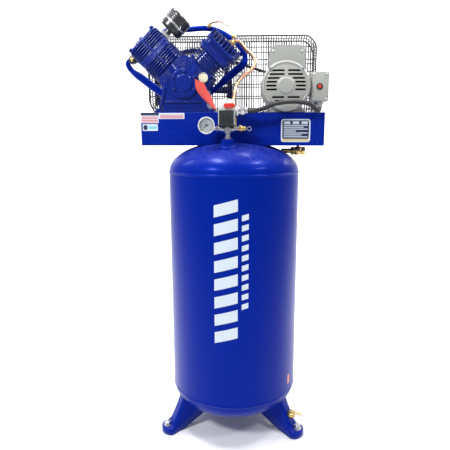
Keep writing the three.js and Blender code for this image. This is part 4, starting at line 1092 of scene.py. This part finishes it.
# %% Lifting eye on the low-pressure head
eye_turn = np.linspace(0, 2 * np.pi, 40, endpoint=False)
eye_centre = np.array([-22, 30, HEAD_TOP + 17])
eye_loop = eye_centre + np.stack([14 * np.cos(eye_turn), np.zeros(40), 14 * np.sin(eye_turn)], axis=1)
eye_stem = soft_turned([(0, HEAD_TOP - 4), (9, HEAD_TOP - 4), (9, HEAD_TOP + 1), (5, HEAD_TOP + 3),
                                    (5, HEAD_TOP + 6), (0, HEAD_TOP + 6)], 1, (-22, 30, 0), sides=32)
new_piece("lifting_eye", in_bank("low", merged(swept(eye_loop, 3.6, 14, closed=True), eye_stem)), zinc,
          slot="bare_steel")

# %% [markdown]
# ## Oil filler cap and its tag
# A ribbed cream cap closes the oil filler, and a card tag hangs from it on a loop of string. The real tag is
# printed; this one is plain red card, bent a little as it leans on the crankcase.


# %% Cap and tag
def ribbed_cap(radius, low, high, ribs=24):
    """Short cylinder whose radius ripples round the rim, with a rounded top."""
    angle = np.linspace(0, 2 * np.pi, ribs * 6, endpoint=False)[None]
    profile = softened_profile([(0, low), (radius, low), (radius, high), (0, high)], 2.5)
    ripple = 1 - 0.035 * (0.5 + 0.5 * np.cos(ribs * angle)) * (profile[:, :1] > radius * 0.7)
    radial = profile[:, :1] * ripple
    grid = np.stack([radial * np.cos(angle), radial * np.sin(angle), np.broadcast_to(profile[:, 1:],
            radial.shape)], axis=2)
    return skin(grid)


cap_low, cap_high = node_box("oil_filler_cap")
cap_centre = [(cap_low[0] + cap_high[0]) / 2, -73.3, (cap_low[2] + cap_high[2]) / 2]
new_piece("oil_cap_ribbed", copied(ribbed_cap(17, 0, -cap_low[1] - 73.3), cap_centre, (0, -1, 0)),
          cream_plastic, replaces=("oil_filler_cap",))


def tag_sheet(rows=24, columns=10, thickness=0.5):
    """Card between a left and a right edge curve, bowed forward across its width, as a closed loop per row."""
    left = smooth_path([[-143, -92, 1434], [-139, -91, 1398], [-121, -90, 1372], [-76, -95, 1326]], rows)
    right = smooth_path([[-108, -93, 1420], [-98, -92, 1396], [-80, -92, 1366], [-62, -96, 1322]], rows)
    t = np.linspace(0, 1, columns)[None, :, None]
    front = left[:, None] * (1 - t) + right[:, None] * t
    front[..., 1] -= 5 * np.sin(np.pi * t[..., 0])
    back = front[:, ::-1] + np.array([0, thickness, 0])
    return skin(np.concatenate([front, back], axis=1))


new_piece("red_tag", tag_sheet(), tag_card, slot="red_plastic", sharp=60)
string = smooth_path([[-122, -95, 1426], [-128, -92, 1446], [-112, -90, 1458], [-96, -91, 1446], [-104, -95,
        1428], [-120, -97, 1424]], 50)
new_piece("tag_string", swept(string, 0.8, 8), cream_plastic, slot="cream_plastic")

# %% [markdown]
# ## Belt drive
# The flywheel is also the fan: five twisted spokes throw air over the pump. The belt is a trapezoid carried
# round the outline of two circles and their common tangents. The wheels ride on the turning bodies; the belt
# stays with the frame.

# %% Flywheel, pulley and belt
BELT_Y = (node_box("drive_belt")[0][1] + node_box("drive_belt")[1][1]) / 2
MOTOR_AXIS = np.array([198.0, 0.0, 1406.0])
RIM, PITCH_BIG, PITCH_SMALL = 170.0, 165.0, 62.0


def v_groove(outer, floor_radius, y):
    """Profile corners of one belt groove centred at y."""
    return [(outer, y - 9.5), (floor_radius, y - 6), (floor_radius, y + 6), (outer, y + 9.5)]


rim = softened_profile([(150, 185), (RIM, 185), *v_groove(RIM, 158, BELT_Y), (RIM, 229), (150, 229), (148,
        207), (150, 185)], 1.5)
hub = softened_profile([(0, 180), (38, 180), (38, 234), (0, 234)], 3)


def fan_spoke(angle):
    """Blade from hub to rim: an ellipse section, set at 55 degrees to the wheel's axis about its own length."""
    along = np.linspace(34, 152, 14)
    a = np.linspace(0, 2 * np.pi, 20, endpoint=False)
    width = np.interp(along, [34, 90, 152], [15, 18, 21])[:, None]
    local_x = width * np.cos(a)
    local_y = 4.5 * np.sin(a)
    twist = math.radians(55)
    y = BELT_Y + local_x * math.cos(twist) - local_y * math.sin(twist)
    tangential = local_x * math.sin(twist) + local_y * math.cos(twist)
    c, s = math.cos(angle), math.sin(angle)
    grid = np.stack([CRANK[0] + along[:, None] * c - tangential * s, y, CRANK[2] + along[:,
            None] * s + tangential * c], axis=2)
    return skin(grid)


spokes = [fan_spoke(math.radians(72 * i)) for i in range(5)]
new_piece("flywheel_cast", merged(turned(rim, (CRANK[0], 0, CRANK[2]), (0, 1, 0), 128, ring=True),
                                  turned(hub, (CRANK[0], 0, CRANK[2]), (0, 1, 0), 64), *spokes), blue_cast,
          body="crank_assembly", replaces=("flywheel",))
pulley = softened_profile([(0, 190), (67, 190), *v_groove(67, 55, BELT_Y), (67, 224), (30, 224), (28, 216),
                           (16, 216), (16, 226), (0, 226)], 1.2)
new_piece("pulley_cast", turned(pulley, (MOTOR_AXIS[0], 0, MOTOR_AXIS[2]), (0, 1, 0), 96), iron,
          body="motor_rotor_assembly", replaces=("motor_pulley",))


def belt_loop(offset, steps=(120, 56)):
    """Outline offset from the pitch line: two arcs whose ends are the points where the tangents touch."""
    gap = MOTOR_AXIS - CRANK
    tilt = math.atan2(gap[2], gap[0])
    wrap = math.acos((PITCH_BIG - PITCH_SMALL) / math.hypot(gap[0], gap[2]))
    big = np.linspace(tilt + wrap, tilt + 2 * np.pi - wrap, steps[0])
    small = np.linspace(tilt - wrap, tilt + wrap, steps[1])
    x = np.concatenate([CRANK[0] + (PITCH_BIG + offset) * np.cos(big),
                        MOTOR_AXIS[0] + (PITCH_SMALL + offset) * np.cos(small)])
    z = np.concatenate([CRANK[2] + (PITCH_BIG + offset) * np.sin(big),
                        MOTOR_AXIS[2] + (PITCH_SMALL + offset) * np.sin(small)])
    return x, z


belt_section = [(5.0, -6.6), (5.0, 6.6), (-5.0, 5.0), (-5.0, -5.0)]
belt_columns = [np.stack([*belt_loop(offset)], axis=1) for offset, _ in belt_section]
belt_grid = np.stack([np.stack([column[:, 0], np.full(len(column), BELT_Y + y), column[:, 1]], axis=1)
                      for column, (_, y) in zip(belt_columns, belt_section)], axis=1)
new_piece("v_belt", skin(belt_grid, wrap_rows=True), belt_rubber, replaces=("drive_belt",))

# %% [markdown]
# ## Wire guard
# The guard is welded from thin black wire: close upright wires, a few long cross wires, and short wires over the
# rim between the front and back panels. At this size each wire is only a six-sided bar, made as one array.

# %% Guard
guard_low, guard_high = node_box("guard_basket")
GUARD_FRONT, GUARD_BACK = guard_low[1], guard_high[1]
GUARD_CORNERS = np.array([[-379, 1359], [-379, 1605], [-345, 1639], [306, 1639], [340, 1605], [340, 1290],
                          [290, 1225], [-300, 1225]], float)


def rounded_loop(corners, radius, steps=8):
    """Closed outline with each corner replaced by a quadratic curve."""
    before, after = np.roll(corners, 1, 0), np.roll(corners, -1, 0)
    t = np.linspace(0, 1, steps)[None, :, None]
    start = corners + radius * (before - corners) / np.linalg.norm(before - corners, axis=1)[:, None]
    end = corners + radius * (after - corners) / np.linalg.norm(after - corners, axis=1)[:, None]
    curve = (1 - t) ** 2 * start[:, None] + 2 * t * (1 - t) * corners[:, None] + t ** 2 * end[:, None]
    return curve.reshape(-1, 2)


outline = rounded_loop(GUARD_CORNERS + np.sign([-20, 1432] - GUARD_CORNERS) * 3, 18)


def chord(fixed, axis):
    """Where a straight line at one coordinate enters and leaves the guard's outline."""
    a, b = outline, np.roll(outline, -1, 0)
    crosses = (a[:, axis] - fixed) * (b[:, axis] - fixed) < 0
    t = (fixed - a[crosses, axis]) / (b[crosses, axis] - a[crosses, axis])
    other = a[crosses, 1 - axis] + t * (b[crosses, 1 - axis] - a[crosses, 1 - axis])
    return other.min(), other.max()


def panel_wires(y, pitch=10.4, cross_pitch=50.0):
    """Upright and level wires that fill the outline at one depth."""
    xs = np.arange(-371, 334, pitch)
    zs = np.arange(1240, 1636, cross_pitch)
    upright = np.array([[[x, y, low], [x, y, high]] for x in xs for low, high in [chord(x, 0)]])
    level = np.array([[[low, y + 2.6, z], [high, y + 2.6, z]] for z in zs for low, high in [chord(z, 1)]])
    return wires(upright[:, 0], upright[:, 1], 1.9), wires(level[:, 0], level[:, 1], 2.1)


def rim_wires(pitch=11.0):
    """Short wires across the rim, at even steps along the outline."""
    loop = np.vstack([outline, outline[:1]])
    run = np.concatenate([[0], np.cumsum(np.linalg.norm(np.diff(loop, axis=0), axis=1))])
    at = np.arange(0, run[-1], pitch)
    x, z = np.interp(at, run, loop[:, 0]), np.interp(at, run, loop[:, 1])
    front = np.stack([x, np.full_like(x, GUARD_FRONT + 3), z], axis=1)
    back = np.stack([x, np.full_like(x, GUARD_BACK - 1), z], axis=1)
    return wires(front, back, 2.0)


def frame_wire(y, radius=3.2):
    """Thicker wire that follows the guard's whole outline at one depth."""
    return swept(np.stack([outline[:, 0], np.full(len(outline), y), outline[:, 1]], axis=1), radius, 12,
                 closed=True)


front_upright, front_level = panel_wires(GUARD_FRONT + 1.5)
back_upright, back_level = panel_wires(GUARD_BACK - 4.5)
new_piece("guard_front_wires", merged(front_upright, front_level, frame_wire(GUARD_FRONT + 3.4)),
          black_powder, replaces=("guard_front",))
new_piece("guard_back_wires", merged(back_upright, back_level, rim_wires(), frame_wire(GUARD_BACK - 3.3),
                                     frame_wire((GUARD_FRONT + GUARD_BACK) / 2, 1.9)), black_powder,
          replaces=("guard_basket",))
brackets = [block((x, 143, z), (x + 26, 164, z + 5), 1.2) for x, z in ((-290, 1307), (250, 1307))]
tabs = [block((x, 158, 1290), (x + 26, 162, 1330), 1.2) for x in (-290, 250)]
new_piece("guard_brackets", merged(*brackets, *tabs), black_powder, slot="black_metal")
print("guard wires done")

# %% [markdown]
# ## Motor
# The motor is a rolled frame between two cast bells. The front bell has rows of cooling slots; they are cut
# with a Boolean modifier that is applied at once, from rounded cutters that follow the bell's circle.

# %% Frame and bells
MOTOR_RADIUS = 90.0
M0 = (MOTOR_AXIS[0], 0, MOTOR_AXIS[2])
bell_front = node_box("motor_front_bell")[0][1]
frame_profile = softened_profile([(85, -95), (90, -95), (90, 95), (85, 95), (85, -95)], 0.8)
new_piece("motor_frame_rolled", turned(frame_profile, M0, (0, 1, 0), 128, ring=True), grey_enamel,
          replaces=("motor_frame",))
bell_profile = softened_profile([(0, bell_front + 0.5), (27, bell_front + 0.5), (30, bell_front + 3.5), (33,
        bell_front + 4.5), (74, bell_front + 8.5), (78, bell_front + 12), (81, bell_front + 7.5), (86,
        bell_front + 9), (91, bell_front + 18), (91, bell_front + 33.6), (85, bell_front + 33.6), (85.5,
        bell_front + 20), (78, bell_front + 16.5), (68, bell_front + 13), (24, bell_front + 10), (22,
        bell_front + 30), (0, bell_front + 30)], 2.2)


def slot_outline(x0, x1, z, half=3.5):
    """Rounded slot between two ends in either order."""
    low, high = min(x0, x1), max(x0, x1)
    return rounded_outline((low, z - half), (high, z + half), 2.5, 4)


def cooling_slots():
    """Two cutters per row; inner ends clear the hub disc, outer ends follow the bell's circle."""
    cutters = []
    for height in (54, 40.5, 27, 13.5, 0, -13.5, -41, -54.5):
        inner = 6.0 if height > 45 or height < -20 else max(6.0, math.sqrt(max(0.0, 36 ** 2 - height ** 2)))
        outer = math.sqrt(77 ** 2 - height ** 2) - (4 if height > -20 else 14)
        for way in (-1, 1):
            shape = slot_outline(MOTOR_AXIS[0] + way * inner, MOTOR_AXIS[0] + way * outer,
                                 MOTOR_AXIS[2] + height)
            cutters.append(prism(shape, bell_front - 5, bell_front + 25, radius=0.01, segments=1))
    return merged(*cutters)


def cut_away(piece, cutter_shape):
    """Subtracts a shape from a piece with an exact Boolean and keeps the result as the piece's own mesh."""
    cutter_mesh = bpy.data.meshes.new("cutter")
    cutter_mesh.from_pydata(place(cutter_shape[0]).tolist(), [], cutter_shape[1])
    cutter = bpy.data.objects.new("cutter", cutter_mesh)
    bpy.context.scene.collection.objects.link(cutter)
    boolean = piece.modifiers.new("Cut", "BOOLEAN")
    boolean.operation = "DIFFERENCE"
    boolean.solver = "EXACT"
    boolean.object = cutter
    result = bpy.data.meshes.new_from_object(piece.evaluated_get(bpy.context.evaluated_depsgraph_get()))
    piece.modifiers.clear()
    piece.data = result
    bpy.data.objects.remove(cutter)
    result.set_sharp_from_angle(angle=math.radians(38))
    return piece


bell = new_piece("motor_bell_front", turned(bell_profile, M0, (0, 1, 0), 128), grey_enamel,
                 replaces=("motor_front_bell",))
cut_away(bell, cooling_slots())
new_piece("bell_shadow", turned([(0, bell_front + 34), (83, bell_front + 34), (83, bell_front + 40), (0,
        bell_front + 40)], M0, (0, 1, 0), 64), dark_gap, slot="cast_iron")
rear_profile = softened_profile([(12.6, 125), (30, 125), (34, 121), (70, 118), (84, 112), (90.5, 104), (90.5,
        95.4), (85, 95.4), (84, 106), (68, 114), (22, 116), (22, 101), (12.6, 101), (12.6, 125)], 2)
new_piece("motor_bell_rear", turned(rear_profile, M0, (0, 1, 0), 128, ring=True), grey_enamel,
          replaces=("motor_rear_bell",))
through = np.radians([45, 135, 225, 315])
bolt_ring = np.stack([MOTOR_AXIS[0] + 84 * np.cos(through), np.full(4, bell_front + 7.5),
                      MOTOR_AXIS[2] + 84 * np.sin(through)], axis=1)
new_piece("bell_bolts", copied(hex_bolt(8, 6), bolt_ring, (0, -1, 0)), zinc, slot="bare_steel")

# %% Base, capacitor box, terminal box and button
softened_node("motor_base", grey_enamel, radius=1.2)
softened_node("capacitor_box", grey_enamel, radius=4.0, segments=4, angle=25)
softened_node("terminal_box", grey_enamel, radius=3.0, segments=3)
base_low, base_high = node_box("motor_base")
base_spots = [[x, y, base_low[2] + 3.8] for x in (base_low[0] + 9, base_high[0] - 9) for y in (-72, 60)]
new_piece("motor_base_bolts", copied(hex_bolt(14, 12), base_spots, (0, 0, 1)), zinc, slot="bare_steel")
lid = prism(rounded_outline((295, 1353), (354, 1455), 7), -103, -99.5, radius=1.2)
new_piece("terminal_lid", lid, grey_enamel, slot="grey_paint")


def pan_screw():
    """Low domed screw head with a slot-free rim, standing along +Z."""
    return soft_turned([(0, 0), (4.2, 0), (4.2, 1.2), (2.6, 2.6), (0, 2.9)], 0.8, sides=24)


lid_screws = [[x, -102.8, z] for x in (301, 348) for z in (1360, 1448)]
box_screws = [[x, -95.2, 1530] for x in (150, 255)]
new_piece("box_screws", copied(pan_screw(), lid_screws + box_screws, (0, -1, 0)), zinc, slot="bare_steel")
collar = softened_profile([(8, -103), (12, -103), (12, -106), (8, -106), (8, -103)], 0.8)
new_piece("button_collar", turned(collar, (323, 0, 1404), (0, 1, 0), 48, ring=True), black_plastic,
          slot="black_plastic")
button = softened_profile([(0, -86), (4, -86), (4, -92), (7, -92), (7, -110), (0, -110)], 1.6)
new_piece("reset_button_cap", turned(button, (323, 0, 1404), (0, 1, 0), 40), red_plastic,
          body="motor_reset_button", replaces=("reset_button",))
print("motor done")

# %% [markdown]
# ## Motor cable
# The cable runs in a flexible jacket from the pressure switch to the terminal box, held at both ends by
# connectors. The jacket has faint rings, a small sine on the radius along the path.

# %% Cable and connectors
CABLE = [[58.3, -144, 1314], [74.3, -144, 1314], [112, -148, 1322], [146, -150, 1336], [182, -150, 1344],
         [222, -150, 1347], [262, -148, 1344], [290, -142, 1336], [308, -128, 1321], [320, -108, 1316],
         [324.9, -90, 1324], [325, -84, 1333], [325, -84, 1335.7]]
cable_path = smooth_path(CABLE, 420)
new_piece("cable_jacket", swept(cable_path, 8.2 + 0.35 * np.sin(np.arange(420) * 1.9), 24), conduit_skin,
          replaces=("power_cable",))
connector = merged(turned([(0, 12.3), (17, 12.3), (18.5, 14), (18.5, 22), (17, 23.5), (0, 23.5)], (0, -144,
        1314), (1, 0, 0), 6), soft_turned([(0, 23), (14.5, 23), (14.5, 32), (0, 32)], 1, (0, -144, 1314), (1,
        0, 0), 48), turned([(0, 32), (15.5, 32), (17, 33.5), (17, 46), (15.5, 47.5), (0, 47.5)], (0, -144,
        1314), (1, 0, 0), 8), soft_turned([(0, 47), (12.5, 47), (11, 58), (0, 58)], 1.5, (0, -144, 1314), (1,
        0, 0), 40))
new_piece("switch_connector_nuts", connector, zinc, replaces=("switch_connector",))
new_piece("box_connector", merged(copied(hex_ring(27, 0, 9), [325, -84, 1339], (0, 0, 1)),
                                  soft_turned([(0, 1326), (11.5, 1326), (12.5, 1339), (0, 1339)], 1.5,
                                         (325, -84, 0), sides=40)), zinc, slot="bare_steel")

# %% [markdown]
# ## Pressure controls
# A riser from the tank's top boss carries a small manifold, with the gauge on the left, the safety valve on the
# right and the pressure switch on top. Threads are hidden, but each joint shows a hexagon or a collar.


# %% Boss, riser and manifold
def tilted_boss():
    """Reinforcing ring that lies on the head, with two rounded steps, and an upright coupling in its middle."""
    normal = unit((0, -0.27, 0.963))
    seat = np.array([-16, -137, 1187.0])
    ring = soft_turned([(0, -20), (40, -20), (40, 1), (36, 5), (31, 5), (29, 8), (0, 8)], 2.2, seat, normal)
    neck = soft_turned([(0, 1172), (27, 1172), (25, 1200), (25, 1209), (22, 1212), (0, 1212)], 2.5,
                  (-16, -137, 0))
    return merged(ring, neck)


new_piece("top_boss_turned", tilted_boss(), blue_enamel, replaces=("top_boss",))
BAR_Y, BAR_Z = -138.0, 1250.0
riser = soft_turned([(0, 1196), (9.2, 1196), (9.2, 1240), (0, 1240)], 0.6, (-16, -137, 0), sides=40)
hexes = merged(copied(hex_ring(25, 0, 9), [-16, -137, 1211.5], (0, 0, 1)),
               copied(hex_ring(24, 0, 8), [-16, -137, 1232], (0, 0, 1)))
tee = merged(soft_turned([(0, -40), (13, -40), (13, -32), (10.5, -30), (10.5, 0), (13, 2), (13, 10), (0, 10)],
                         1.5, (0, BAR_Y, BAR_Z), (1, 0, 0), 48), soft_turned([(0, 1236), (12.5, 1236), (12.5,
        1250), (0, 1250)], 1.5, (-16, BAR_Y, 0), sides=48), soft_turned([(0, BAR_Y), (11.5, BAR_Y), (11.5,
        BAR_Y - 15), (0, BAR_Y - 15)], 1.5, (-16, 0, BAR_Z - 1), (0, 1, 0), 48), copied(hex_ring(14, 0, 6),
        [-16, BAR_Y - 14, BAR_Z - 1], (0, -1, 0)))
arm = merged(swept(smooth_path([[-36, BAR_Y, BAR_Z], [-70, BAR_Y, BAR_Z], [-85, BAR_Y, BAR_Z + 1], [-93,
        BAR_Y, BAR_Z + 8], [-93, BAR_Y - 2, BAR_Z + 12], [-93, -147, BAR_Z + 12]], 60), 7.5, 24),
             copied(hex_ring(20, 0, 8), [-52, BAR_Y, BAR_Z], (-1, 0, 0)), copied(hex_ring(19, 0, 7), [-93,
        -140, BAR_Z + 12], (0, -1, 0)))
stub = merged(soft_turned([(0, 8), (9, 8), (9, 24), (0, 24)], 0.8, (0, BAR_Y, BAR_Z), (1, 0, 0), 40),
              soft_turned([(0, -138), (8, -138), (8, -118), (0, -118)], 0.8, (5, 0, BAR_Z), (0, 1, 0), 32))
new_piece("manifold_zinc", merged(riser, hexes, tee, arm, stub), zinc, replaces=("manifold",))

# %% Pressure switch


def hood(corner=9, steps=7):
    """Loft of rounded rectangles: each level has its own width and front, so the top leans back and narrows."""
    levels = [(1263.5, 0, 0), (1312, 0, 0), (1325, 1.5, 1), (1338, 5, 7), (1348, 9, 15), (1355, 13, 21),
              (1358.6, 17, 26)]
    rings = []
    for z, inward, front in levels:
        outline = rounded_outline((-50 + inward, -172 + front), (12 - inward, -122 - inward * 0.4), corner,
                                  steps)
        rings.append(np.column_stack([outline, np.full(len(outline), z)]))
    return skin(np.array(rings))


new_piece("switch_hood", hood(), grey_plastic, replaces=("switch_cover",), sharp=35)
softened_node("switch_base", black_plastic, radius=1.5, segments=2)
panel_ribs = [block((x, -181.6, 1270), (x + 2.2, -179.5, 1311), 0.7, 2) for x in np.arange(-38, 4, 7.0)]
new_piece("switch_panel_ribs", merged(*panel_ribs), black_plastic, slot="black_plastic")
cover_screw = copied(pan_screw(), [[-19, -150.5, 1358.3]], (0, -0.2, 1))
new_piece("switch_cover_screw", cover_screw, zinc, slot="bare_steel")
lever_shape = merged(soft_turned([(0, -168.6), (4, -168.6), (4, -172.4), (9, -172.4), (9, -178), (0, -178)],
                                 1.2, (-20, 0, 1332), (0, 1, 0), 40), prism(rounded_outline((-29, 1323.5),
        (12, 1340.5), 8), -180, -174, radius=1.8, segments=3))
new_piece("switch_lever_red", lever_shape, red_plastic, body="pressure_switch_lever",
          replaces=("switch_lever",))

# %% Gauge
GX, GZ = -93.0, 1262.0
case = softened_profile([(0, -147.3), (24, -147.3), (29.2, -150), (29.2, -168), (31, -168.6), (31, -172.6),
                         (28, -173), (27.6, -160), (0, -160)], 1.0)
new_piece("gauge_case_round", turned(case, (GX, 0, GZ), (0, 1, 0), 128), white_enamel, replaces=("gauge_case",
        ))


def dial_marks():
    """Thirty-one ticks over a sweep of 270 degrees, every fifth one longer."""
    swing = np.radians(np.linspace(225, -45, 31))
    inner = np.where(np.arange(31) % 5 == 0, 18.0, 21.0)
    direction = np.stack([np.cos(swing), np.zeros(31), np.sin(swing)], axis=1)
    centre = np.array([GX, -160.2, GZ])
    return wires(centre + direction * inner[:, None], centre + direction * 24.5, 0.55, 4)


new_piece("gauge_marks", dial_marks(), black_plastic, slot="black_plastic")
zero = math.radians(225)
point = np.array([GX, -161.9, GZ])
toward = np.array([math.cos(zero), 0, math.sin(zero)])
needle = merged(swept(point + toward * np.linspace(-6, 21, 16)[:, None], np.linspace(1.2, 0.35, 16), 8),
                soft_turned([(0, -160.6), (3.4, -160.6), (3.4, -163), (0, -163)], 0.5, (GX, 0, GZ),
                       (0, 1, 0), 32))
new_piece("gauge_needle_black", needle, black_plastic, body="gauge_pointer", replaces=("gauge_needle",))
lens = softened_profile([(0, -169.2), (27.2, -169.2), (27.2, -170.8), (0, -171.2)], 0.4)
new_piece("gauge_window", turned(lens, (GX, 0, GZ), (0, 1, 0), 96), clear_window, replaces=("gauge_lens",))

# %% Safety valve and its ring
valve = softened_profile([(0, 24.3), (10.5, 24.3), (10.5, 27), (12.5, 27), (12.5, 36), (10, 38), (10, 44),
                          (8.5, 46), (8.5, 51.5), (2.9, 51.8), (0, 51.8)], 1.0)
new_piece("safety_valve_turned", merged(turned(valve, (0, BAR_Y, BAR_Z), (1, 0, 0), 48),
                                        copied(hex_ring(23, 0, 8), [27, BAR_Y, BAR_Z], (1, 0, 0))), brass,
          replaces=("safety_valve",))
ring_turn = np.linspace(0, 2 * np.pi, 40, endpoint=False)
ring_loop = np.stack([64 + 7.5 * np.cos(ring_turn), np.full(40, BAR_Y), BAR_Z + 7.5 * np.sin(ring_turn)],
                     axis=1)
pin = soft_turned([(0, 52.2), (2.1, 52.2), (2.1, 57.5), (0, 57.5)], 0.5, (0, BAR_Y, BAR_Z), (1, 0, 0), 20)
new_piece("safety_ring_wire", merged(swept(ring_loop, 1.2, 12, closed=True), pin), zinc,
          body="safety_valve_ring", replaces=("safety_ring",))

# %% [markdown]
# ## Outlet and drain valves
# Both are small brass ball valves with a lever on top. The outlet sits on the shoulder of the top head behind
# the platform's flange; the drain comes out through the right leg, at the end of a pipe from the tank's bottom.

# %% Outlet valve
OUT_Z = 1165.0
outlet = merged(soft_turned([(0, 190), (9.3, 190), (9.3, 231), (0, 231)], 0.5, (0, 0, OUT_Z), (1, 0, 0), 40),
                turned([(0, 229), (17, 229), (18.5, 230.5), (18.5, 239.5), (17, 241), (0, 241)], (0, 0,
        OUT_Z), (1, 0, 0), 6), soft_turned([(0, 240), (14, 240), (17, 250), (17, 264), (14, 273), (0, 273)],
        3, (0, 0, OUT_Z), (1, 0, 0), 56), turned([(0, 272), (17, 272), (18.5, 273.5), (18.5, 283.5), (17,
        285), (11, 285), (10, 276), (0, 276)], (0, 0, OUT_Z), (1, 0, 0), 6), soft_turned([(0, 1178), (7,
        1178), (7, 1182), (5.5, 1183), (5.5, 1185), (0, 1185)], 0.8, (257, 0, 0), sides=32))
new_piece("outlet_valve_turned", outlet, brass, replaces=("outlet_valve_body",))
softened_node("outlet_valve_lever", red_plastic, radius=1.2, segments=3, body="outlet_lever")

# %% Drain pipe and valve
DRAIN_DIRECTION = np.array([math.cos(math.radians(-30)), math.sin(math.radians(-30)), 0])


def reach(distance, height):
    return DRAIN_DIRECTION * distance + np.array([0, 0, height])


drain_route = [[0, 0, 57.5], [0, 0, 50], reach(8, 40), reach(26, 38), reach(110, 54), reach(200, 73),
               reach(236, 80), reach(262, 80)]
new_piece("drain_pipe_round", swept(smooth_path(drain_route, 90), 8, 20), iron, replaces=("drain_pipe",))
drain_shape = merged(turned([(0, 262.3), (11, 262.3), (12.5, 264), (12.5, 272), (11, 273.5), (0, 273.5)], (0,
        0, 80), DRAIN_DIRECTION, 6), soft_turned([(0, 273), (10, 273), (13, 279), (13, 291), (10.5, 295),
        (10.5, 298), (5, 298), (4.5, 290), (0, 290)], 1.5, (0, 0, 80), DRAIN_DIRECTION, 48), soft_turned([(0,
        88), (6.5, 88), (6.5, 94), (0, 94)], 0.8, reach(287, 0), sides=32))
new_piece("drain_valve_turned", drain_shape, brass, replaces=("drain_valve_body",))
softened_node("drain_valve_handle", brass, radius=1.0, segments=3, body="drain_handle")
grommet = soft_turned([(11, 268), (16, 268), (16, 279), (11, 279), (11, 268)], 1.5, (0, 0, 80),
                 DRAIN_DIRECTION, 48, ring=True)
new_piece("drain_grommet", grommet, belt_rubber, slot="rubber")

# %% [markdown]
# ## What stays as CAD
# The moving and inner pieces that the castings hide keep their CAD shape and only get their real metals.

# %% Finishes on the carried-over nodes
CARRIED = {"crankshaft_front": steel, "crankshaft_rear": steel, "crank_pin": steel, "piston_low": aluminium,
           "piston_high": aluminium, "rod_low": aluminium, "rod_high": aluminium, "motor_stator": iron,
           "motor_rotor": steel, "filter_element": filter_paper}
for name, material in CARRIED.items():
    for material_slot in nodes[name].material_slots:
        material_slot.material = material
shown = [name for name, node in nodes.items() if not node.hide_render]
print("CAD nodes still shown:", sorted(shown))

# %% [markdown]
# The visual model is built to fill the same box as the CAD model, apart from a small margin. Both boxes are
# printed so that they can be compared.

# %% Sizes
visual_low, visual_high = (list(corner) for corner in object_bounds())
print("visual box", visual_low, visual_high)
